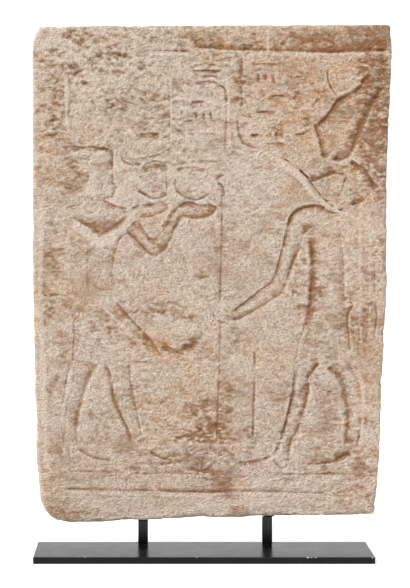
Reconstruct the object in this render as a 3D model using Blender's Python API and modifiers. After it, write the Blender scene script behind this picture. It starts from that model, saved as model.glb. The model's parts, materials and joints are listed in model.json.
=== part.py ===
"""Carved limestone stele on a black steel stand: a slab in sunk relief, two square supports and a plate.

The stele faces -Y, +Z is up, and the origin is under the middle of the whole object, on the ground.
Sizes are in metres. Places on the carved face are (x, z) pairs in millimetres, in the same frame.
"""

import math

import bmesh
import bpy
from mathutils import Vector
from mathutils.geometry import interpolate_bezier

MM = 0.001
GAP = 0.0003

# Stand
PLATE_LENGTH = 0.400
PLATE_DEPTH = 0.110
PLATE_THICKNESS = 0.008
PLATE_CENTRE_X = -0.0106
BAR_SIDE = 0.012
BAR_TOP = 0.380
BAR_EDGE = 0.0006
LEFT_BAR_X = -0.0822
RIGHT_BAR_X = 0.0683
ARM_TIP_Y = -0.006
ARM_TIP_THICKNESS = 0.0026
ARM_ROOT_THICKNESS = 0.0090

# Slab
SLAB_FRONT_Y = -0.024
SLAB_THICKNESS = 0.060
SLAB_BACK_Y = SLAB_FRONT_Y + SLAB_THICKNESS
ARRIS = 0.0050
ARC_STEP = math.radians(15)
LEFT_SEAT_Z = 46.6
RIGHT_SEAT_Z = 51.0

# The slab's edge, clockwise from the worn lower left corner: x, z and the radius that rounds the corner.
SLAB_EDGE = (
    (-199, 43.5, 36),
    (-208, 135, 14),
    (-205, 169, 6),
    (-210.5, 199, 6),
    (-208, 214, 6),
    (-212, 373, 20),
    (-213, 611, 5),
    (-205, 627, 5),
    (-133, 630, 20),
    (56, 632, 20),
    (211, 633, 4),
    (213, 602, 12),
    (206, 449, 20),
    (202, 236, 20),
    (199, 212, 12),
    (191.5, 53.6, 4),
    (85, RIGHT_SEAT_Z, 2),
    (52, RIGHT_SEAT_Z, 2),
    (33, 49.2, 4),
    (-15, 49.6, 4),
    (-66, LEFT_SEAT_Z, 2),
    (-99, LEFT_SEAT_Z, 2),
    (-130, 43.8, 4),
)

# Width and depth of the cuts, in millimetres.
DEEP = (6.5, 3.0)
CLEAR = (5.0, 2.2)
FINE = (3.6, 1.4)
SOFT = (9.0, 2.0)
CUT_STEPS = 3

# Border and ground lines, column lines and the oval frame of the signs.
FRAME_LINES = (
    (DEEP, [(-23, 606), (40, 603), (130, 601), (207, 603)]),
    (FINE, [(-84, 602), (-30, 601)]),
    (DEEP, [(-173, 83), (-60, 80), (20, 81), (135, 78)]),
    (FINE, [(-140, 104), (-60, 103), (20, 100), (154, 100)]),
    (FINE, [(192, 350), (193, 300), (191, 262)]),
    (FINE, [(-50, 560), (-50, 495), (-60, 481), (-80, 476)]),
    (FINE, [(34, 588), (33, 540), (30, 515), (36, 494), (54, 487)]),
    (CLEAR, [(-32, 486), (-32, 548), (-24, 561), (-4, 565), (12, 560), (16, 548), (14, 486)]),
    (CLEAR, [(-40, 472), (-10, 471), (22, 472)]),
    (CLEAR, [(51, 565), (54, 579), (64, 585), (76, 580), (73, 566)]),
)

# The king on the left, who faces right and holds up two bowls.
KING = (
    (CLEAR, [(-174, 493), (-157, 489), (-120, 486), (-118, 460)]),
    (CLEAR, [(-128, 424), (-116, 417), (-98, 414)]),
    (SOFT, [(-168, 410), (-146, 395), (-132, 384), (-116, 393), (-100, 406)]),
    (CLEAR, [(-86, 404), (-70, 406), (-56, 411), (-53, 418), (-62, 424)]),
    (DEEP, [(-100, 387), (-83, 371), (-69, 360), (-58, 366), (-47, 387), (-37, 405), (-14, 405), (3, 413), (-6, 422)]),
    (CLEAR, [(-88, 400), (-79, 386), (-69, 379), (-61, 386), (-50, 406), (-38, 419), (-21, 422)]),
    (CLEAR, [(-88, 462), (-86, 437), (-72, 427), (-56, 433), (-53, 460)]),
    (CLEAR, [(-86, 461), (-68, 468), (-53, 462)]),
    (CLEAR, [(-42, 458), (-40, 435), (-22, 426), (-3, 434), (-1, 458)]),
    (CLEAR, [(-40, 459), (-20, 463), (-2, 459)]),
    (CLEAR, [(-111, 376), (-116, 363), (-119, 340), (-126, 330)]),
    (CLEAR, [(-142, 328), (-131, 319), (-115, 320)]),
    (DEEP, [(-111, 305), (-96, 286), (-77, 262), (-57, 237)]),
    (CLEAR, [(-98, 234), (-76, 234), (-58, 235)]),
    (SOFT, [(-164, 288), (-164, 260), (-168, 232)]),
    (SOFT, [(-141, 231), (-153, 208), (-161, 177), (-163, 158)]),
    (DEEP, [(-128, 229), (-118, 208), (-111, 176), (-96, 144)]),
    (CLEAR, [(-100, 230), (-97, 205), (-90, 174)]),
    (CLEAR, [(-159, 134), (-145, 124), (-118, 117)]),
    (CLEAR, [(-74, 127), (-61, 120), (-38, 117)]),
    (CLEAR, [(-91, 113), (-40, 111), (-8, 106)]),
    (FINE, [(-120, 456), (-112, 445), (-116, 439), (-115, 432), (-124, 427)]),
)

# The god on the right, who wears the double crown and holds a staff.
GOD = (
    (CLEAR, [(139, 578), (136, 569), (140, 556), (148, 546)]),
    (DEEP, [(122, 514), (139, 528), (157, 545), (174, 554), (187, 573)]),
    (CLEAR, [(122, 514), (128, 498), (132, 478)]),
    (SOFT, [(190, 543), (178, 516), (168, 494), (158, 477)]),
    (CLEAR, [(165, 470), (178, 460), (189, 444)]),
    (CLEAR, [(117, 449), (131, 454), (146, 459)]),
    (DEEP, [(107, 458), (121, 439), (134, 426), (156, 416)]),
    (DEEP, [(150, 411), (124, 419), (98, 413), (88, 398), (81, 366), (76, 339), (68, 326), (46, 309), (25, 295)]),
    (DEEP, [(101, 357), (91, 332), (72, 313), (46, 293), (19, 281)]),
    (CLEAR, [(0, 298), (4, 286), (15, 280)]),
    (FINE, [(12, 428), (10, 300)]),
    (FINE, [(10, 278), (9, 210), (6, 139)]),
    (FINE, [(3, 449), (11, 454), (19, 457)]),
    (FINE, [(49, 262), (50, 200), (48, 146)]),
    (SOFT, [(116, 378), (121, 338), (117, 300), (110, 280)]),
    (CLEAR, [(110, 281), (102, 250), (98, 222), (94, 190), (83, 152), (76, 130), (60, 119), (32, 114)]),
    (DEEP, [(125, 231), (116, 205), (109, 175), (96, 142), (90, 114)]),
    (SOFT, [(136, 230), (151, 210), (157, 180), (158, 158), (157, 140)]),
    (DEEP, [(156, 126), (140, 119), (111, 114)]),
    (CLEAR, [(167, 304), (161, 288), (162, 268), (164, 250)]),
    (FINE, [(130, 474), (125, 467), (120, 461), (121, 455)]),
)

# Old damage: long scoops struck out of the face.
SCOOPS = (
    ((13.0, 3.5), [(-82, 303), (-55, 301), (-22, 289)]),
    ((16.0, 4.0), [(-76, 256), (-50, 250), (-14, 262)]),
)

LIMESTONE = ("limestone", (0.58, 0.47, 0.38), 0.92, 0.0)
BLACK_STEEL = ("black_steel", (0.03, 0.032, 0.035), 0.45, 0.0)


def clear_scene():
    for obj in list(bpy.data.objects):
        bpy.data.objects.remove(obj, do_unlink=True)


def new_collection(name):
    collection = bpy.data.collections.new(name)
    bpy.context.scene.collection.children.link(collection)
    return collection


def new_material(name, colour, roughness, metallic):
    material = bpy.data.materials.new(name)
    material.use_nodes = True
    shader = material.node_tree.nodes["Principled BSDF"]
    shader.inputs["Base Color"].default_value = (*colour, 1.0)
    shader.inputs["Roughness"].default_value = roughness
    shader.inputs["Metallic"].default_value = metallic
    return material


def rounded_outline(corners):
    """The corner points of a closed outline with each corner turned into an arc of its own radius."""
    outline = []
    for index, (x, z, radius) in enumerate(corners):
        corner = Vector((x, z))
        before = (Vector(corners[index - 1][:2]) - corner).normalized()
        after = (Vector(corners[(index + 1) % len(corners)][:2]) - corner).normalized()
        half_angle = before.angle(after) / 2
        setback = radius / math.tan(half_angle)
        turn = math.pi - 2 * half_angle
        if turn < ARC_STEP / 4:
            outline.append(corner)
            continue
        centre = corner + (before + after).normalized() * radius / math.sin(half_angle)
        start = corner + before * setback - centre
        side = math.copysign(1.0, start.cross(corner + after * setback - centre))
        steps = max(1, round(turn / ARC_STEP))
        for step in range(steps + 1):
            angle = side * turn * step / steps
            outline.append(centre + Vector((start.x * math.cos(angle) - start.y * math.sin(angle),
                                            start.x * math.sin(angle) + start.y * math.cos(angle))))
    return outline


def add_edge_bevel(obj, width, segments):
    bevel = obj.modifiers.new("edge", "BEVEL")
    bevel.width = width
    bevel.segments = segments
    bevel.limit_method = "ANGLE"
    bevel.angle_limit = math.radians(50)
    return bevel


def mesh_from_curve(curve_object, collection, material):
    """A curve's evaluated shape as a mesh object in the same place, with its caps welded on."""
    graph = bpy.context.evaluated_depsgraph_get()
    mesh = bpy.data.meshes.new_from_object(curve_object.evaluated_get(graph))
    shape = bmesh.new()
    shape.from_mesh(mesh)
    bmesh.ops.remove_doubles(shape, verts=shape.verts, dist=1e-6)
    bmesh.ops.recalc_face_normals(shape, faces=shape.faces)
    shape.to_mesh(mesh)
    shape.free()
    mesh.materials.clear()
    mesh.materials.append(material)
    name = curve_object.name
    matrix = curve_object.matrix_world.copy()
    curve = curve_object.data
    bpy.data.objects.remove(curve_object)
    bpy.data.curves.remove(curve)
    mesh.name = name
    obj = bpy.data.objects.new(name, mesh)
    obj.matrix_world = matrix
    collection.objects.link(obj)
    return obj


def extruded(name, outline, thickness, collection, material, turn, place):
    """A flat outline extruded to a thickness about its own plane, turned and placed."""
    curve = bpy.data.curves.new(name, "CURVE")
    curve.dimensions = "2D"
    curve.fill_mode = "BOTH"
    curve.extrude = thickness / 2
    spline = curve.splines.new("POLY")
    spline.points.add(len(outline) - 1)
    for point, (across, up) in zip(spline.points, outline):
        point.co = (across, up, 0.0, 1.0)
    spline.use_cyclic_u = True
    obj = bpy.data.objects.new(name, curve)
    obj.rotation_euler = turn
    obj.location = place
    collection.objects.link(obj)
    bpy.context.view_layer.update()
    return mesh_from_curve(obj, collection, material)


def smooth_route(points):
    """Points along a smooth curve through the given ones, with CUT_STEPS pieces between two of them."""
    places = [Vector((x, z, 0.0)) for x, z in points]
    ends = [places[0] * 2 - places[1]] + places + [places[-1] * 2 - places[-2]]
    route = [places[0]]
    for before, start, end, after in zip(ends, ends[1:], ends[2:], ends[3:]):
        first = start + (end - before) / 6
        second = end - (after - start) / 6
        route += interpolate_bezier(start, first, second, end, CUT_STEPS + 1)[1:]
    return route


def cutter(name, size, points, collection, material):
    """A tube along a route on the face, sunk so that it cuts a groove of the stated width and depth."""
    width, depth = size
    radius = (width * width / 4 + depth * depth) / (2 * depth)
    route = smooth_route(points)
    curve = bpy.data.curves.new(name, "CURVE")
    curve.dimensions = "3D"
    curve.fill_mode = "FULL"
    curve.bevel_depth = radius * MM
    curve.bevel_resolution = 2
    curve.use_fill_caps = True
    spline = curve.splines.new("POLY")
    spline.points.add(len(route) - 1)
    for point, place in zip(spline.points, route):
        point.co = (place.x * MM, SLAB_FRONT_Y - (radius - depth) * MM, place.y * MM, 1.0)
    obj = bpy.data.objects.new(name, curve)
    collection.objects.link(obj)
    bpy.context.view_layer.update()
    cut = mesh_from_curve(obj, collection, material)
    cut.hide_render = True
    cut.display_type = "WIRE"
    return cut


def make_stele(parts, cutters, material):
    outline = [point * MM for point in rounded_outline(SLAB_EDGE)]
    middle_y = SLAB_FRONT_Y + SLAB_THICKNESS / 2
    stele = extruded("stele", outline, SLAB_THICKNESS, parts, material,
                     (math.radians(90), 0.0, 0.0), (0.0, middle_y, 0.0))
    add_edge_bevel(stele, ARRIS, 2)
    groups = {"frame_line": FRAME_LINES, "king": KING, "god": GOD, "scoop": SCOOPS}
    tubes = [
        cutter(f"{group}_{number:02d}", size, points, cutters, material)
        for group, cuts in groups.items()
        for number, (size, points) in enumerate(cuts, 1)
    ]
    for tube in tubes:
        carve = stele.modifiers.new(tube.name, "BOOLEAN")
        carve.operation = "DIFFERENCE"
        carve.solver = "EXACT"
        carve.object = tube
    return stele


def make_support(name, centre_x, seat_z, parts, material):
    """A square bar that stands on the plate behind the slab, with an arm forward under its bottom edge."""
    front = SLAB_BACK_Y + GAP
    back = front + BAR_SIDE
    foot = PLATE_THICKNESS + GAP
    arm_top = seat_z * MM - GAP
    outline = (
        (front, foot),
        (back, foot),
        (back, BAR_TOP),
        (front, BAR_TOP),
        (front, arm_top),
        (ARM_TIP_Y, arm_top),
        (ARM_TIP_Y, arm_top - ARM_TIP_THICKNESS),
        (front, arm_top - ARM_ROOT_THICKNESS),
    )
    turn = (math.radians(90), 0.0, math.radians(90))
    support = extruded(name, outline, BAR_SIDE, parts, material, turn, (centre_x, 0.0, 0.0))
    add_edge_bevel(support, BAR_EDGE, 1)
    return support


def make_base_plate(parts, material):
    mesh = bpy.data.meshes.new("base_plate")
    shape = bmesh.new()
    bmesh.ops.create_cube(shape, size=1.0)
    bmesh.ops.scale(shape, verts=shape.verts, vec=(PLATE_LENGTH, PLATE_DEPTH, PLATE_THICKNESS))
    shape.to_mesh(mesh)
    shape.free()
    mesh.materials.append(material)
    plate = bpy.data.objects.new("base_plate", mesh)
    plate.location = (PLATE_CENTRE_X, 0.0, PLATE_THICKNESS / 2)
    parts.objects.link(plate)
    add_edge_bevel(plate, BAR_EDGE, 1)
    return plate


def main():
    clear_scene()
    parts = new_collection("carved_stone_stele")
    cutters = new_collection("cutters")
    limestone = new_material(*LIMESTONE)
    black_steel = new_material(*BLACK_STEEL)
    make_stele(parts, cutters, limestone)
    make_base_plate(parts, black_steel)
    make_support("left_support", LEFT_BAR_X, LEFT_SEAT_Z, parts, black_steel)
    make_support("right_support", RIGHT_BAR_X, RIGHT_SEAT_Z, parts, black_steel)


main()
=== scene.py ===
"""Looks of a carved limestone stele on a black steel stand.

The slab's face is worked out in millimetres on a fine raster: x runs across it, z up it, and a height
above zero stands proud of the dressed face. A dense block takes its shape from that raster.
"""

import json
import math

import bmesh
import bpy
import numpy as np
from mathutils import Matrix, Vector
from mathutils.geometry import interpolate_bezier

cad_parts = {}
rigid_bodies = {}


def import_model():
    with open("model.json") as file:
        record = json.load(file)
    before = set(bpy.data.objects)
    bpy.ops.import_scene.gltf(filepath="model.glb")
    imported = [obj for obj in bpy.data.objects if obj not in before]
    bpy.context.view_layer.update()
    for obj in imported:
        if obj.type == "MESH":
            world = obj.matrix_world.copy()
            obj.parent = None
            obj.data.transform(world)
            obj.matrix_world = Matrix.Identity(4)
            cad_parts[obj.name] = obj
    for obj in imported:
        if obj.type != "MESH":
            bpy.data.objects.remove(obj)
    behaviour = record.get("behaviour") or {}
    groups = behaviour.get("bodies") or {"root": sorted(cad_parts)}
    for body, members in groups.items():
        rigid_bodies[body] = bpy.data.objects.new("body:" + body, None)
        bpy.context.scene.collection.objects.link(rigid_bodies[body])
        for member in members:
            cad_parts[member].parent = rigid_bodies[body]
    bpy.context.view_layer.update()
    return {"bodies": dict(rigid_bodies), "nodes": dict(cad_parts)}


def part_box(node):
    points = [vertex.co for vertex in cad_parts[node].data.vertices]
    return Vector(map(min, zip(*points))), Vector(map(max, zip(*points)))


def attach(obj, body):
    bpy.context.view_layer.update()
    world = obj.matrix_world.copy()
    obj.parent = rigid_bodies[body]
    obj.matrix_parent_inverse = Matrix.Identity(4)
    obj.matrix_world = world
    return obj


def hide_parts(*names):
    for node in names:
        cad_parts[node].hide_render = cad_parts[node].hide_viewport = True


bl_info = {
    "name": "Carved stone stele",
    "version": (1, 0, 0),
    "blender": (4, 5, 0),
    "location": "View3D > Sidebar > Stele",
    "description": "Carves the slab's sunk relief and gives the stone and its stand their finishes",
    "category": "Object",
}

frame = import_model()
ROOT = "root"
if ROOT not in frame["bodies"]:
    raise ValueError("the frame has no body named root")

MM = 0.001
SLAB_LOW, SLAB_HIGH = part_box("stele")
FRONT_Y = SLAB_LOW.y / MM
BACK_Y = SLAB_HIGH.y / MM

# ---------------------------------------------------------------------------------------------
# The slab's outline and its carving, in millimetres
# ---------------------------------------------------------------------------------------------

LEFT_SEAT_Z = 46.6
RIGHT_SEAT_Z = 51.0

# The slab's edge, clockwise from the worn lower left corner: x, z and the radius that rounds the corner.
SLAB_EDGE = (
    (-201, 43.5, 34),
    (-209.6, 130, 14),
    (-207.6, 165, 6),
    (-210.6, 195, 6),
    (-210, 214, 6),
    (-212.8, 330, 20),
    (-213, 613, 4),
    (-205.5, 630.5, 3.5),
    (-133, 631.5, 20),
    (56, 632.5, 20),
    (211, 633, 4),
    (213, 602, 12),
    (209.3, 520, 20),
    (206.6, 460, 20),
    (206.6, 385, 20),
    (207.2, 330, 20),
    (203.8, 262, 12),
    (200.8, 212, 16),
    (197.8, 120, 20),
    (192.4, 52.6, 4),
    (85, RIGHT_SEAT_Z, 2),
    (52, RIGHT_SEAT_Z, 2),
    (33, 49.2, 4),
    (-15, 49.6, 4),
    (-66, LEFT_SEAT_Z, 2),
    (-99, LEFT_SEAT_Z, 2),
    (-130, 43.8, 4),
)
# Which of those points are the block's corners, from the lower left one on, and the stretches of the foot
# that rest flat on the arms.
CORNERS = (0, 7, 10, 19)
SEATS = ((-102, -62), (48, 89))

# A cut's depth, the width of its steep wall, the width of the rounded slope on the figure's side, and how
# far and how strongly brown dirt and painted shade lie along it.
CUTS = {
    "trace": (0.7, 1.4, 2.0, 1.6, 0.25),
    "hair": (1.0, 1.5, 2.6, 1.8, 0.38),
    "fine": (1.4, 1.6, 3.6, 2.0, 0.45),
    "line": (1.9, 1.8, 6.0, 2.4, 0.5),
    "limb": (2.4, 2.1, 9.0, 2.8, 0.5),
    "body": (2.7, 2.4, 11.0, 3.2, 0.55),
    "deep": (3.1, 2.7, 13.0, 3.6, 0.65),
    "band": (2.6, 4.2, 8.5, 6.0, 0.55),
    "soft": (3.2, 5.0, 14.0, 7.5, 0.45),
    "swale": (3.6, 6.0, 15.0, 6.0, 0.75),
    "gully": (3.3, 4.2, 11.0, 8.0, 0.65),
    "cove": (3.0, 2.0, 20.0, 5.0, 0.42),
}
LEFT, RIGHT = 1, -1  # the side of the stroke, seen along it, that slopes gently

# Each stroke: its kind, its gentle side, its points and, where it is worn or stronger, its strength.
BORDER_STROKES = (
    ("cove", LEFT, [(-23, 607), (21, 604), (60, 603), (104, 602), (140, 600.5), (165, 602), (208, 603)]),
    ("fine", LEFT, [(-83, 602), (-52, 602), (-24, 601)]),
    ("hair", LEFT, [(93, 501), (106, 504), (119, 511)], 0.6),
    ("fine", LEFT, [(-173, 83.5), (-109, 82), (-68, 81.5), (-21, 79.5), (24, 81), (87, 79.5), (135, 78)]),
    ("line", LEFT, [(-66, 81.5), (-40, 80.5), (-12, 79.5), (3, 79.5), (20, 80.5)]),
    ("line", LEFT, [(34, 81), (60, 80.5), (86, 79.5)]),
    ("hair", LEFT, [(102, 79.3), (118, 78.6), (135, 78)], 1.2),
    ("trace", LEFT, [(-170, 104), (-140, 104), (-110, 103)]),
    ("hair", LEFT, [(-92, 101), (-50, 102), (-15, 101)]),
    ("hair", LEFT, [(82, 100.5), (120, 101), (154, 101.5)], 1.4),
    ("hair", RIGHT, [(191.5, 353), (192, 330), (193.5, 300), (194, 286), (191, 262)]),
    ("hair", RIGHT, [(-50, 559), (-50, 520), (-50, 490), (-56, 484), (-66, 479), (-80, 476)]),
    ("band", RIGHT, [(34, 597), (34, 582), (34, 567)], 0.5),
    ("hair", RIGHT, [(35, 557.5), (35, 537.5)]),
    ("line", LEFT, [(29, 521), (30.5, 508), (33, 498.5), (37.5, 492.5), (44.5, 489), (54, 486.5)], 0.8),
    ("hair", RIGHT, [(-30, 560), (-32, 539), (-32.5, 486.5)], 0.6),
    ("fine", RIGHT, [(-15, 565), (-6.5, 566), (2, 565), (9, 561.5), (14, 557.5), (16, 552), (16.8, 540)]),
    ("trace", RIGHT, [(16.8, 540), (16.5, 520), (15.5, 500), (15, 486)]),
    ("hair", LEFT, [(-35, 470.5), (-12, 471), (21, 472)]),
)

# Where the signs stood, rows of shallow strokes: the left and right ends of a row, its height, the number of
# its strokes, how tall they stand (0 for lying ones), and their kind.
SIGN_ROWS = (
    (-22, 10, 585, 2, 0, "fine"),
    (-27, 11, 578, 1, 0, "line"),
    (-15, 8, 571.5, 1, 0, "fine"),
    (-26, -8, 541, 1, 0, "body"),
    (-23, 3, 525, 3, 11, "fine"),
    (-27, 7, 503, 3, 0, "hair"),
    (-9, 3, 552, 2, 7, "hair"),
    (-87, -62, 503, 1, 0, "body"),
    (49, 77, 586, 1, 0, "line"),
    (50, 77, 570, 3, 12, "line"),
    (68, 87, 548, 1, 0, "line"),
    (49, 76, 529, 1, 0, "body"),
    (44, 57, 502, 1, 0, "body"),
    (66, 80, 503, 2, 9, "line"),
    (62, 87, 492, 1, 0, "line"),
    (-192, -173, 367, 1, 0, "hair"),
    (-192, -172, 354, 2, 0, "hair"),
    (-193, -173, 340, 1, 0, "hair"),
    (-192, -174, 326, 2, 0, "hair"),
    (-193, -173, 313, 1, 0, "hair"),
)
SIGN_GAP = 4.0

KING_STROKES = (
    ("line", RIGHT, [(-176, 489), (-154.5, 488), (-142.5, 488.5), (-133, 486.5), (-121, 485.5)]),
    ("body", RIGHT, [(-119, 486), (-118.5, 474), (-119, 460)], 0.9),
    ("fine", LEFT, [(-109, 478), (-104, 470.5), (-95, 467.5), (-84, 467.5)], 0.9),
    ("body", RIGHT, [(-129, 424.5), (-121, 420.5), (-111.5, 417), (-100, 414)], 0.9),
    ("line", RIGHT, [(-96, 415), (-89, 418), (-84, 419.5)]),
    ("hair", RIGHT, [(-174, 416.5), (-164, 418.5), (-156.5, 420.5), (-151, 424)]),
    ("limb", LEFT, [(-166, 404), (-160, 402), (-152, 396.5), (-141.5, 392), (-133, 384)], 0.62),
    ("line", LEFT, [(-133, 384), (-124, 389), (-110, 398), (-101, 406)], 0.8),
    ("fine", LEFT, [(-157, 421), (-149, 413), (-140, 410), (-134, 417)], 0.5),
    ("body", LEFT, [(-87, 405), (-74, 406), (-60, 411), (-54, 415), (-54, 419), (-62, 424)], 0.9),
    ("deep", LEFT, [(-101, 388), (-90, 378), (-80, 367), (-70, 360), (-63, 362), (-56, 368), (-49, 382),
                    (-43, 394), (-36, 406), (-25, 404.5), (-14, 405), (-5, 407), (1, 411), (4, 417),
                    (-5, 420)]),
    ("body", RIGHT, [(-87, 400), (-82, 390), (-75, 381), (-68, 379), (-62, 385), (-56, 393), (-50, 406),
                     (-44, 414), (-36, 420), (-28, 423), (-19, 421)], 0.8),
    ("band", RIGHT, [(-82, 460), (-74, 464), (-64.5, 466), (-52, 464)], 0.75),
    ("hair", RIGHT, [(-86, 459), (-78, 468), (-65, 471.5), (-53, 465)], 0.9),
    ("trace", RIGHT, [(-54.5, 457), (-54, 445), (-54.5, 433)]),
    ("hair", RIGHT, [(-79, 443), (-71.5, 446), (-64.5, 449)]),
    ("line", LEFT, [(-89, 437), (-81, 432), (-72, 427)]),
    ("limb", LEFT, [(-74, 428), (-66, 426.5), (-58, 429), (-53, 434)], 0.7),
    ("band", RIGHT, [(-43, 461), (-27, 463), (-7, 460)], 0.8),
    ("hair", RIGHT, [(-40, 466), (-30, 470), (-18, 471.5), (-3, 468)], 0.9),
    ("fine", RIGHT, [(-27, 461), (-8, 459)]),
    ("trace", RIGHT, [(-34, 437), (-26.5, 440.5), (-19.5, 444)]),
    ("limb", LEFT, [(-44, 437), (-37, 432), (-31, 428), (-23, 426), (-14, 427), (-7.5, 430),
                    (-3.5, 434)], 0.9),
    ("fine", LEFT, [(-43, 452), (-45, 444), (-42, 437)], 0.8),
    ("trace", RIGHT, [(-7.5, 458), (-5, 447.5), (-6, 437)]),
    ("fine", RIGHT, [(-106, 384), (-111, 377), (-113, 372)]),
    ("line", RIGHT, [(-113, 372), (-116, 363), (-118, 350), (-120, 338), (-125, 329)], 0.55),
    ("line", LEFT, [(-142, 328), (-137, 322), (-131, 319), (-116, 320)], 0.55),
    ("line", RIGHT, [(-114, 305), (-98, 286), (-83, 270.5)]),
    ("band", RIGHT, [(-83, 270), (-74, 260), (-67, 250), (-58, 237)], 0.5),
    ("hair", LEFT, [(-99, 234), (-76, 233.5), (-57, 234)]),
    ("hair", LEFT, [(-164, 286), (-164, 262), (-166, 233)]),
    ("soft", RIGHT, [(-138, 232), (-148, 213), (-154, 194), (-158, 177)], 0.95),
    ("soft", RIGHT, [(-155, 192), (-160, 172), (-162, 156)], 0.75),
    ("soft", RIGHT, [(-160, 170), (-163, 150), (-163, 138)], 0.45),
    ("trace", LEFT, [(-169, 213), (-175, 195), (-179, 180)]),
    ("body", RIGHT, [(-127, 229), (-122, 222), (-119, 212)], 0.8),
    ("line", RIGHT, [(-119, 212), (-117, 190), (-108, 171), (-101, 157), (-95, 141)]),
    ("fine", LEFT, [(-100, 230), (-98, 213), (-94, 196), (-91, 176)]),
    ("line", LEFT, [(-159, 131), (-145, 122), (-133, 118.5), (-119, 116.5)]),
    ("line", LEFT, [(-74, 127), (-61, 120), (-46, 117)], 0.9),
    ("line", LEFT, [(-92, 114), (-74, 112.5), (-56, 113.5), (-38, 115.5)], 0.6),
    ("band", LEFT, [(-28, 107), (-12, 106), (3, 106)], 0.7),
)

# The king's face, laid out from the canon: hairline, brow, nose and chin a third of the face apart.
HAIRLINE_Z, CHIN_Z, FACE_X = 458.0, 430.0, -118.6
KING_FACE = (
    ("line", RIGHT, ((0.0, 0.0), (0.9, 0.3), (-0.3, 0.4), (5.6, 0.64), (1.4, 0.70), (3.2, 0.76), (1.6, 0.81),
                     (2.8, 0.86), (0.9, 0.91), (1.9, 0.99), (-2.0, 1.05), (-7.0, 1.06), (-9.0, 1.16))),
    ("hair", RIGHT, ((-7.4, 0.41), (-4.2, 0.34), (-1.0, 0.40))),
    ("hair", LEFT, ((-7.4, 0.41), (-4.0, 0.46), (-1.0, 0.40))),
    ("trace", RIGHT, ((-8.4, 0.25), (-4.2, 0.20), (-0.6, 0.25))),
    ("hair", RIGHT, ((-13.0, 0.38), (-10.6, 0.44), (-12.0, 0.64), (-13.6, 0.66))),
)

GOD_STROKES = (
    ("fine", LEFT, [(136, 579), (136.5, 568), (140.5, 557.5), (147, 549)]),
    ("hair", LEFT, [(117, 534), (123, 542.5), (133.5, 549.5)], 0.8),
    ("gully", RIGHT, [(124, 512), (133, 522), (141, 531), (151, 544.5), (163, 550.5), (171.5, 555.5),
                       (179.5, 567), (187, 575)]),
    ("gully", LEFT, [(121, 517), (124, 507), (128, 495), (131, 482), (134, 474)], 0.75),
    ("line", LEFT, [(121, 517), (124, 509)], 1.2),
    ("soft", LEFT, [(143, 476), (152, 473.5), (163, 482), (169, 496), (175, 510.5), (182, 526), (192, 545),
                    (200, 560)], 1.2),
    ("band", LEFT, [(146, 475), (157, 474.5), (166, 484)], 0.5),
    ("hair", LEFT, [(159.5, 536.5), (166, 536.5)]),
    ("hair", LEFT, [(151, 518.5), (163, 518.5)]),
    ("deep", RIGHT, [(163, 472.5), (171.5, 466.5), (178.5, 463), (185, 454.5), (190, 446), (197, 439.5)]),
    ("hair", LEFT, [(159.5, 456), (156, 446.5), (152.5, 437), (149, 428.5)]),
    ("deep", LEFT, [(115, 447.5), (123, 450), (130, 452.5), (138, 455.5), (147, 458.5)], 1.15),
    ("deep", LEFT, [(163, 420), (172.5, 422.5), (182, 426.5)], 0.85),
    ("line", LEFT, [(151, 409.5), (140, 411), (132, 414)], 0.8),
    ("deep", LEFT, [(134, 414), (127.5, 418), (118, 418.5), (107.5, 417), (98, 412), (92, 404), (89, 393)]),
    ("limb", LEFT, [(89, 393), (86, 378), (81.5, 362), (77, 345), (73.5, 331)], 0.9),
    ("limb", LEFT, [(74, 331), (57, 318.5), (46, 310), (35, 301.5), (24, 293.5)], 0.9),
    ("limb", RIGHT, [(104, 369), (97, 357), (91, 338), (83, 318), (73, 309), (60, 301), (46, 292.5),
                      (33, 285.5), (22, 283.5)], 0.9),
    ("fine", LEFT, [(-1, 296), (1.5, 288), (5, 283), (11, 280), (18, 280)]),
    ("hair", LEFT, [(11, 447), (11, 400), (9.5, 340), (9, 300)]),
    ("hair", LEFT, [(9, 279), (8, 230), (6, 180), (5, 139)], 0.8),
    ("fine", LEFT, [(4.5, 449), (8, 452.5), (15.5, 455)]),
    ("fine", RIGHT, [(4, 447), (9, 444.5), (13, 440.5), (14, 428)]),
    ("trace", LEFT, [(-0.5, 445), (-0.5, 431)]),
    ("fine", RIGHT, [(50, 247), (50, 215), (49, 180), (48, 145)]),
    ("line", RIGHT, [(112, 380), (120, 379)]),
    ("swale", LEFT, [(115, 379), (118.5, 366), (119.5, 352), (118.5, 335), (117, 315), (115, 292),
                      (110, 276)]),
    ("hair", LEFT, [(116.5, 335), (115.5, 315), (113.5, 295), (108, 273), (101, 253), (97.5, 212)]),
    ("line", LEFT, [(97, 212), (95, 195), (89, 172), (84, 152), (76, 130), (70, 122)], 1.1),
    ("line", LEFT, [(70, 122), (58, 118), (44, 115.5), (30, 115)], 1.2),
    ("deep", RIGHT, [(127, 233), (119, 223), (113, 213), (113, 198), (108, 176)]),
    ("limb", RIGHT, [(109, 180), (101, 155), (94, 141), (91, 130), (90, 114)], 1.15),
    ("fine", RIGHT, [(90, 114), (86.5, 109.5), (80, 108.8), (71.7, 117.8)]),
    ("swale", LEFT, [(137, 229), (147, 219), (154, 210), (158, 190), (160, 175), (160, 155),
                      (159, 136)], 0.6),
    ("line", RIGHT, [(162, 122), (152, 118), (140, 115), (126, 113.5), (111, 112)]),
    ("deep", RIGHT, [(165, 124), (155, 122), (145, 117.5)], 1.35),
    ("line", RIGHT, [(161, 306), (166, 301), (160, 287), (162, 262), (163, 246)]),
    ("trace", RIGHT, [(150, 390), (152, 330), (152, 270)]),
)

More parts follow.
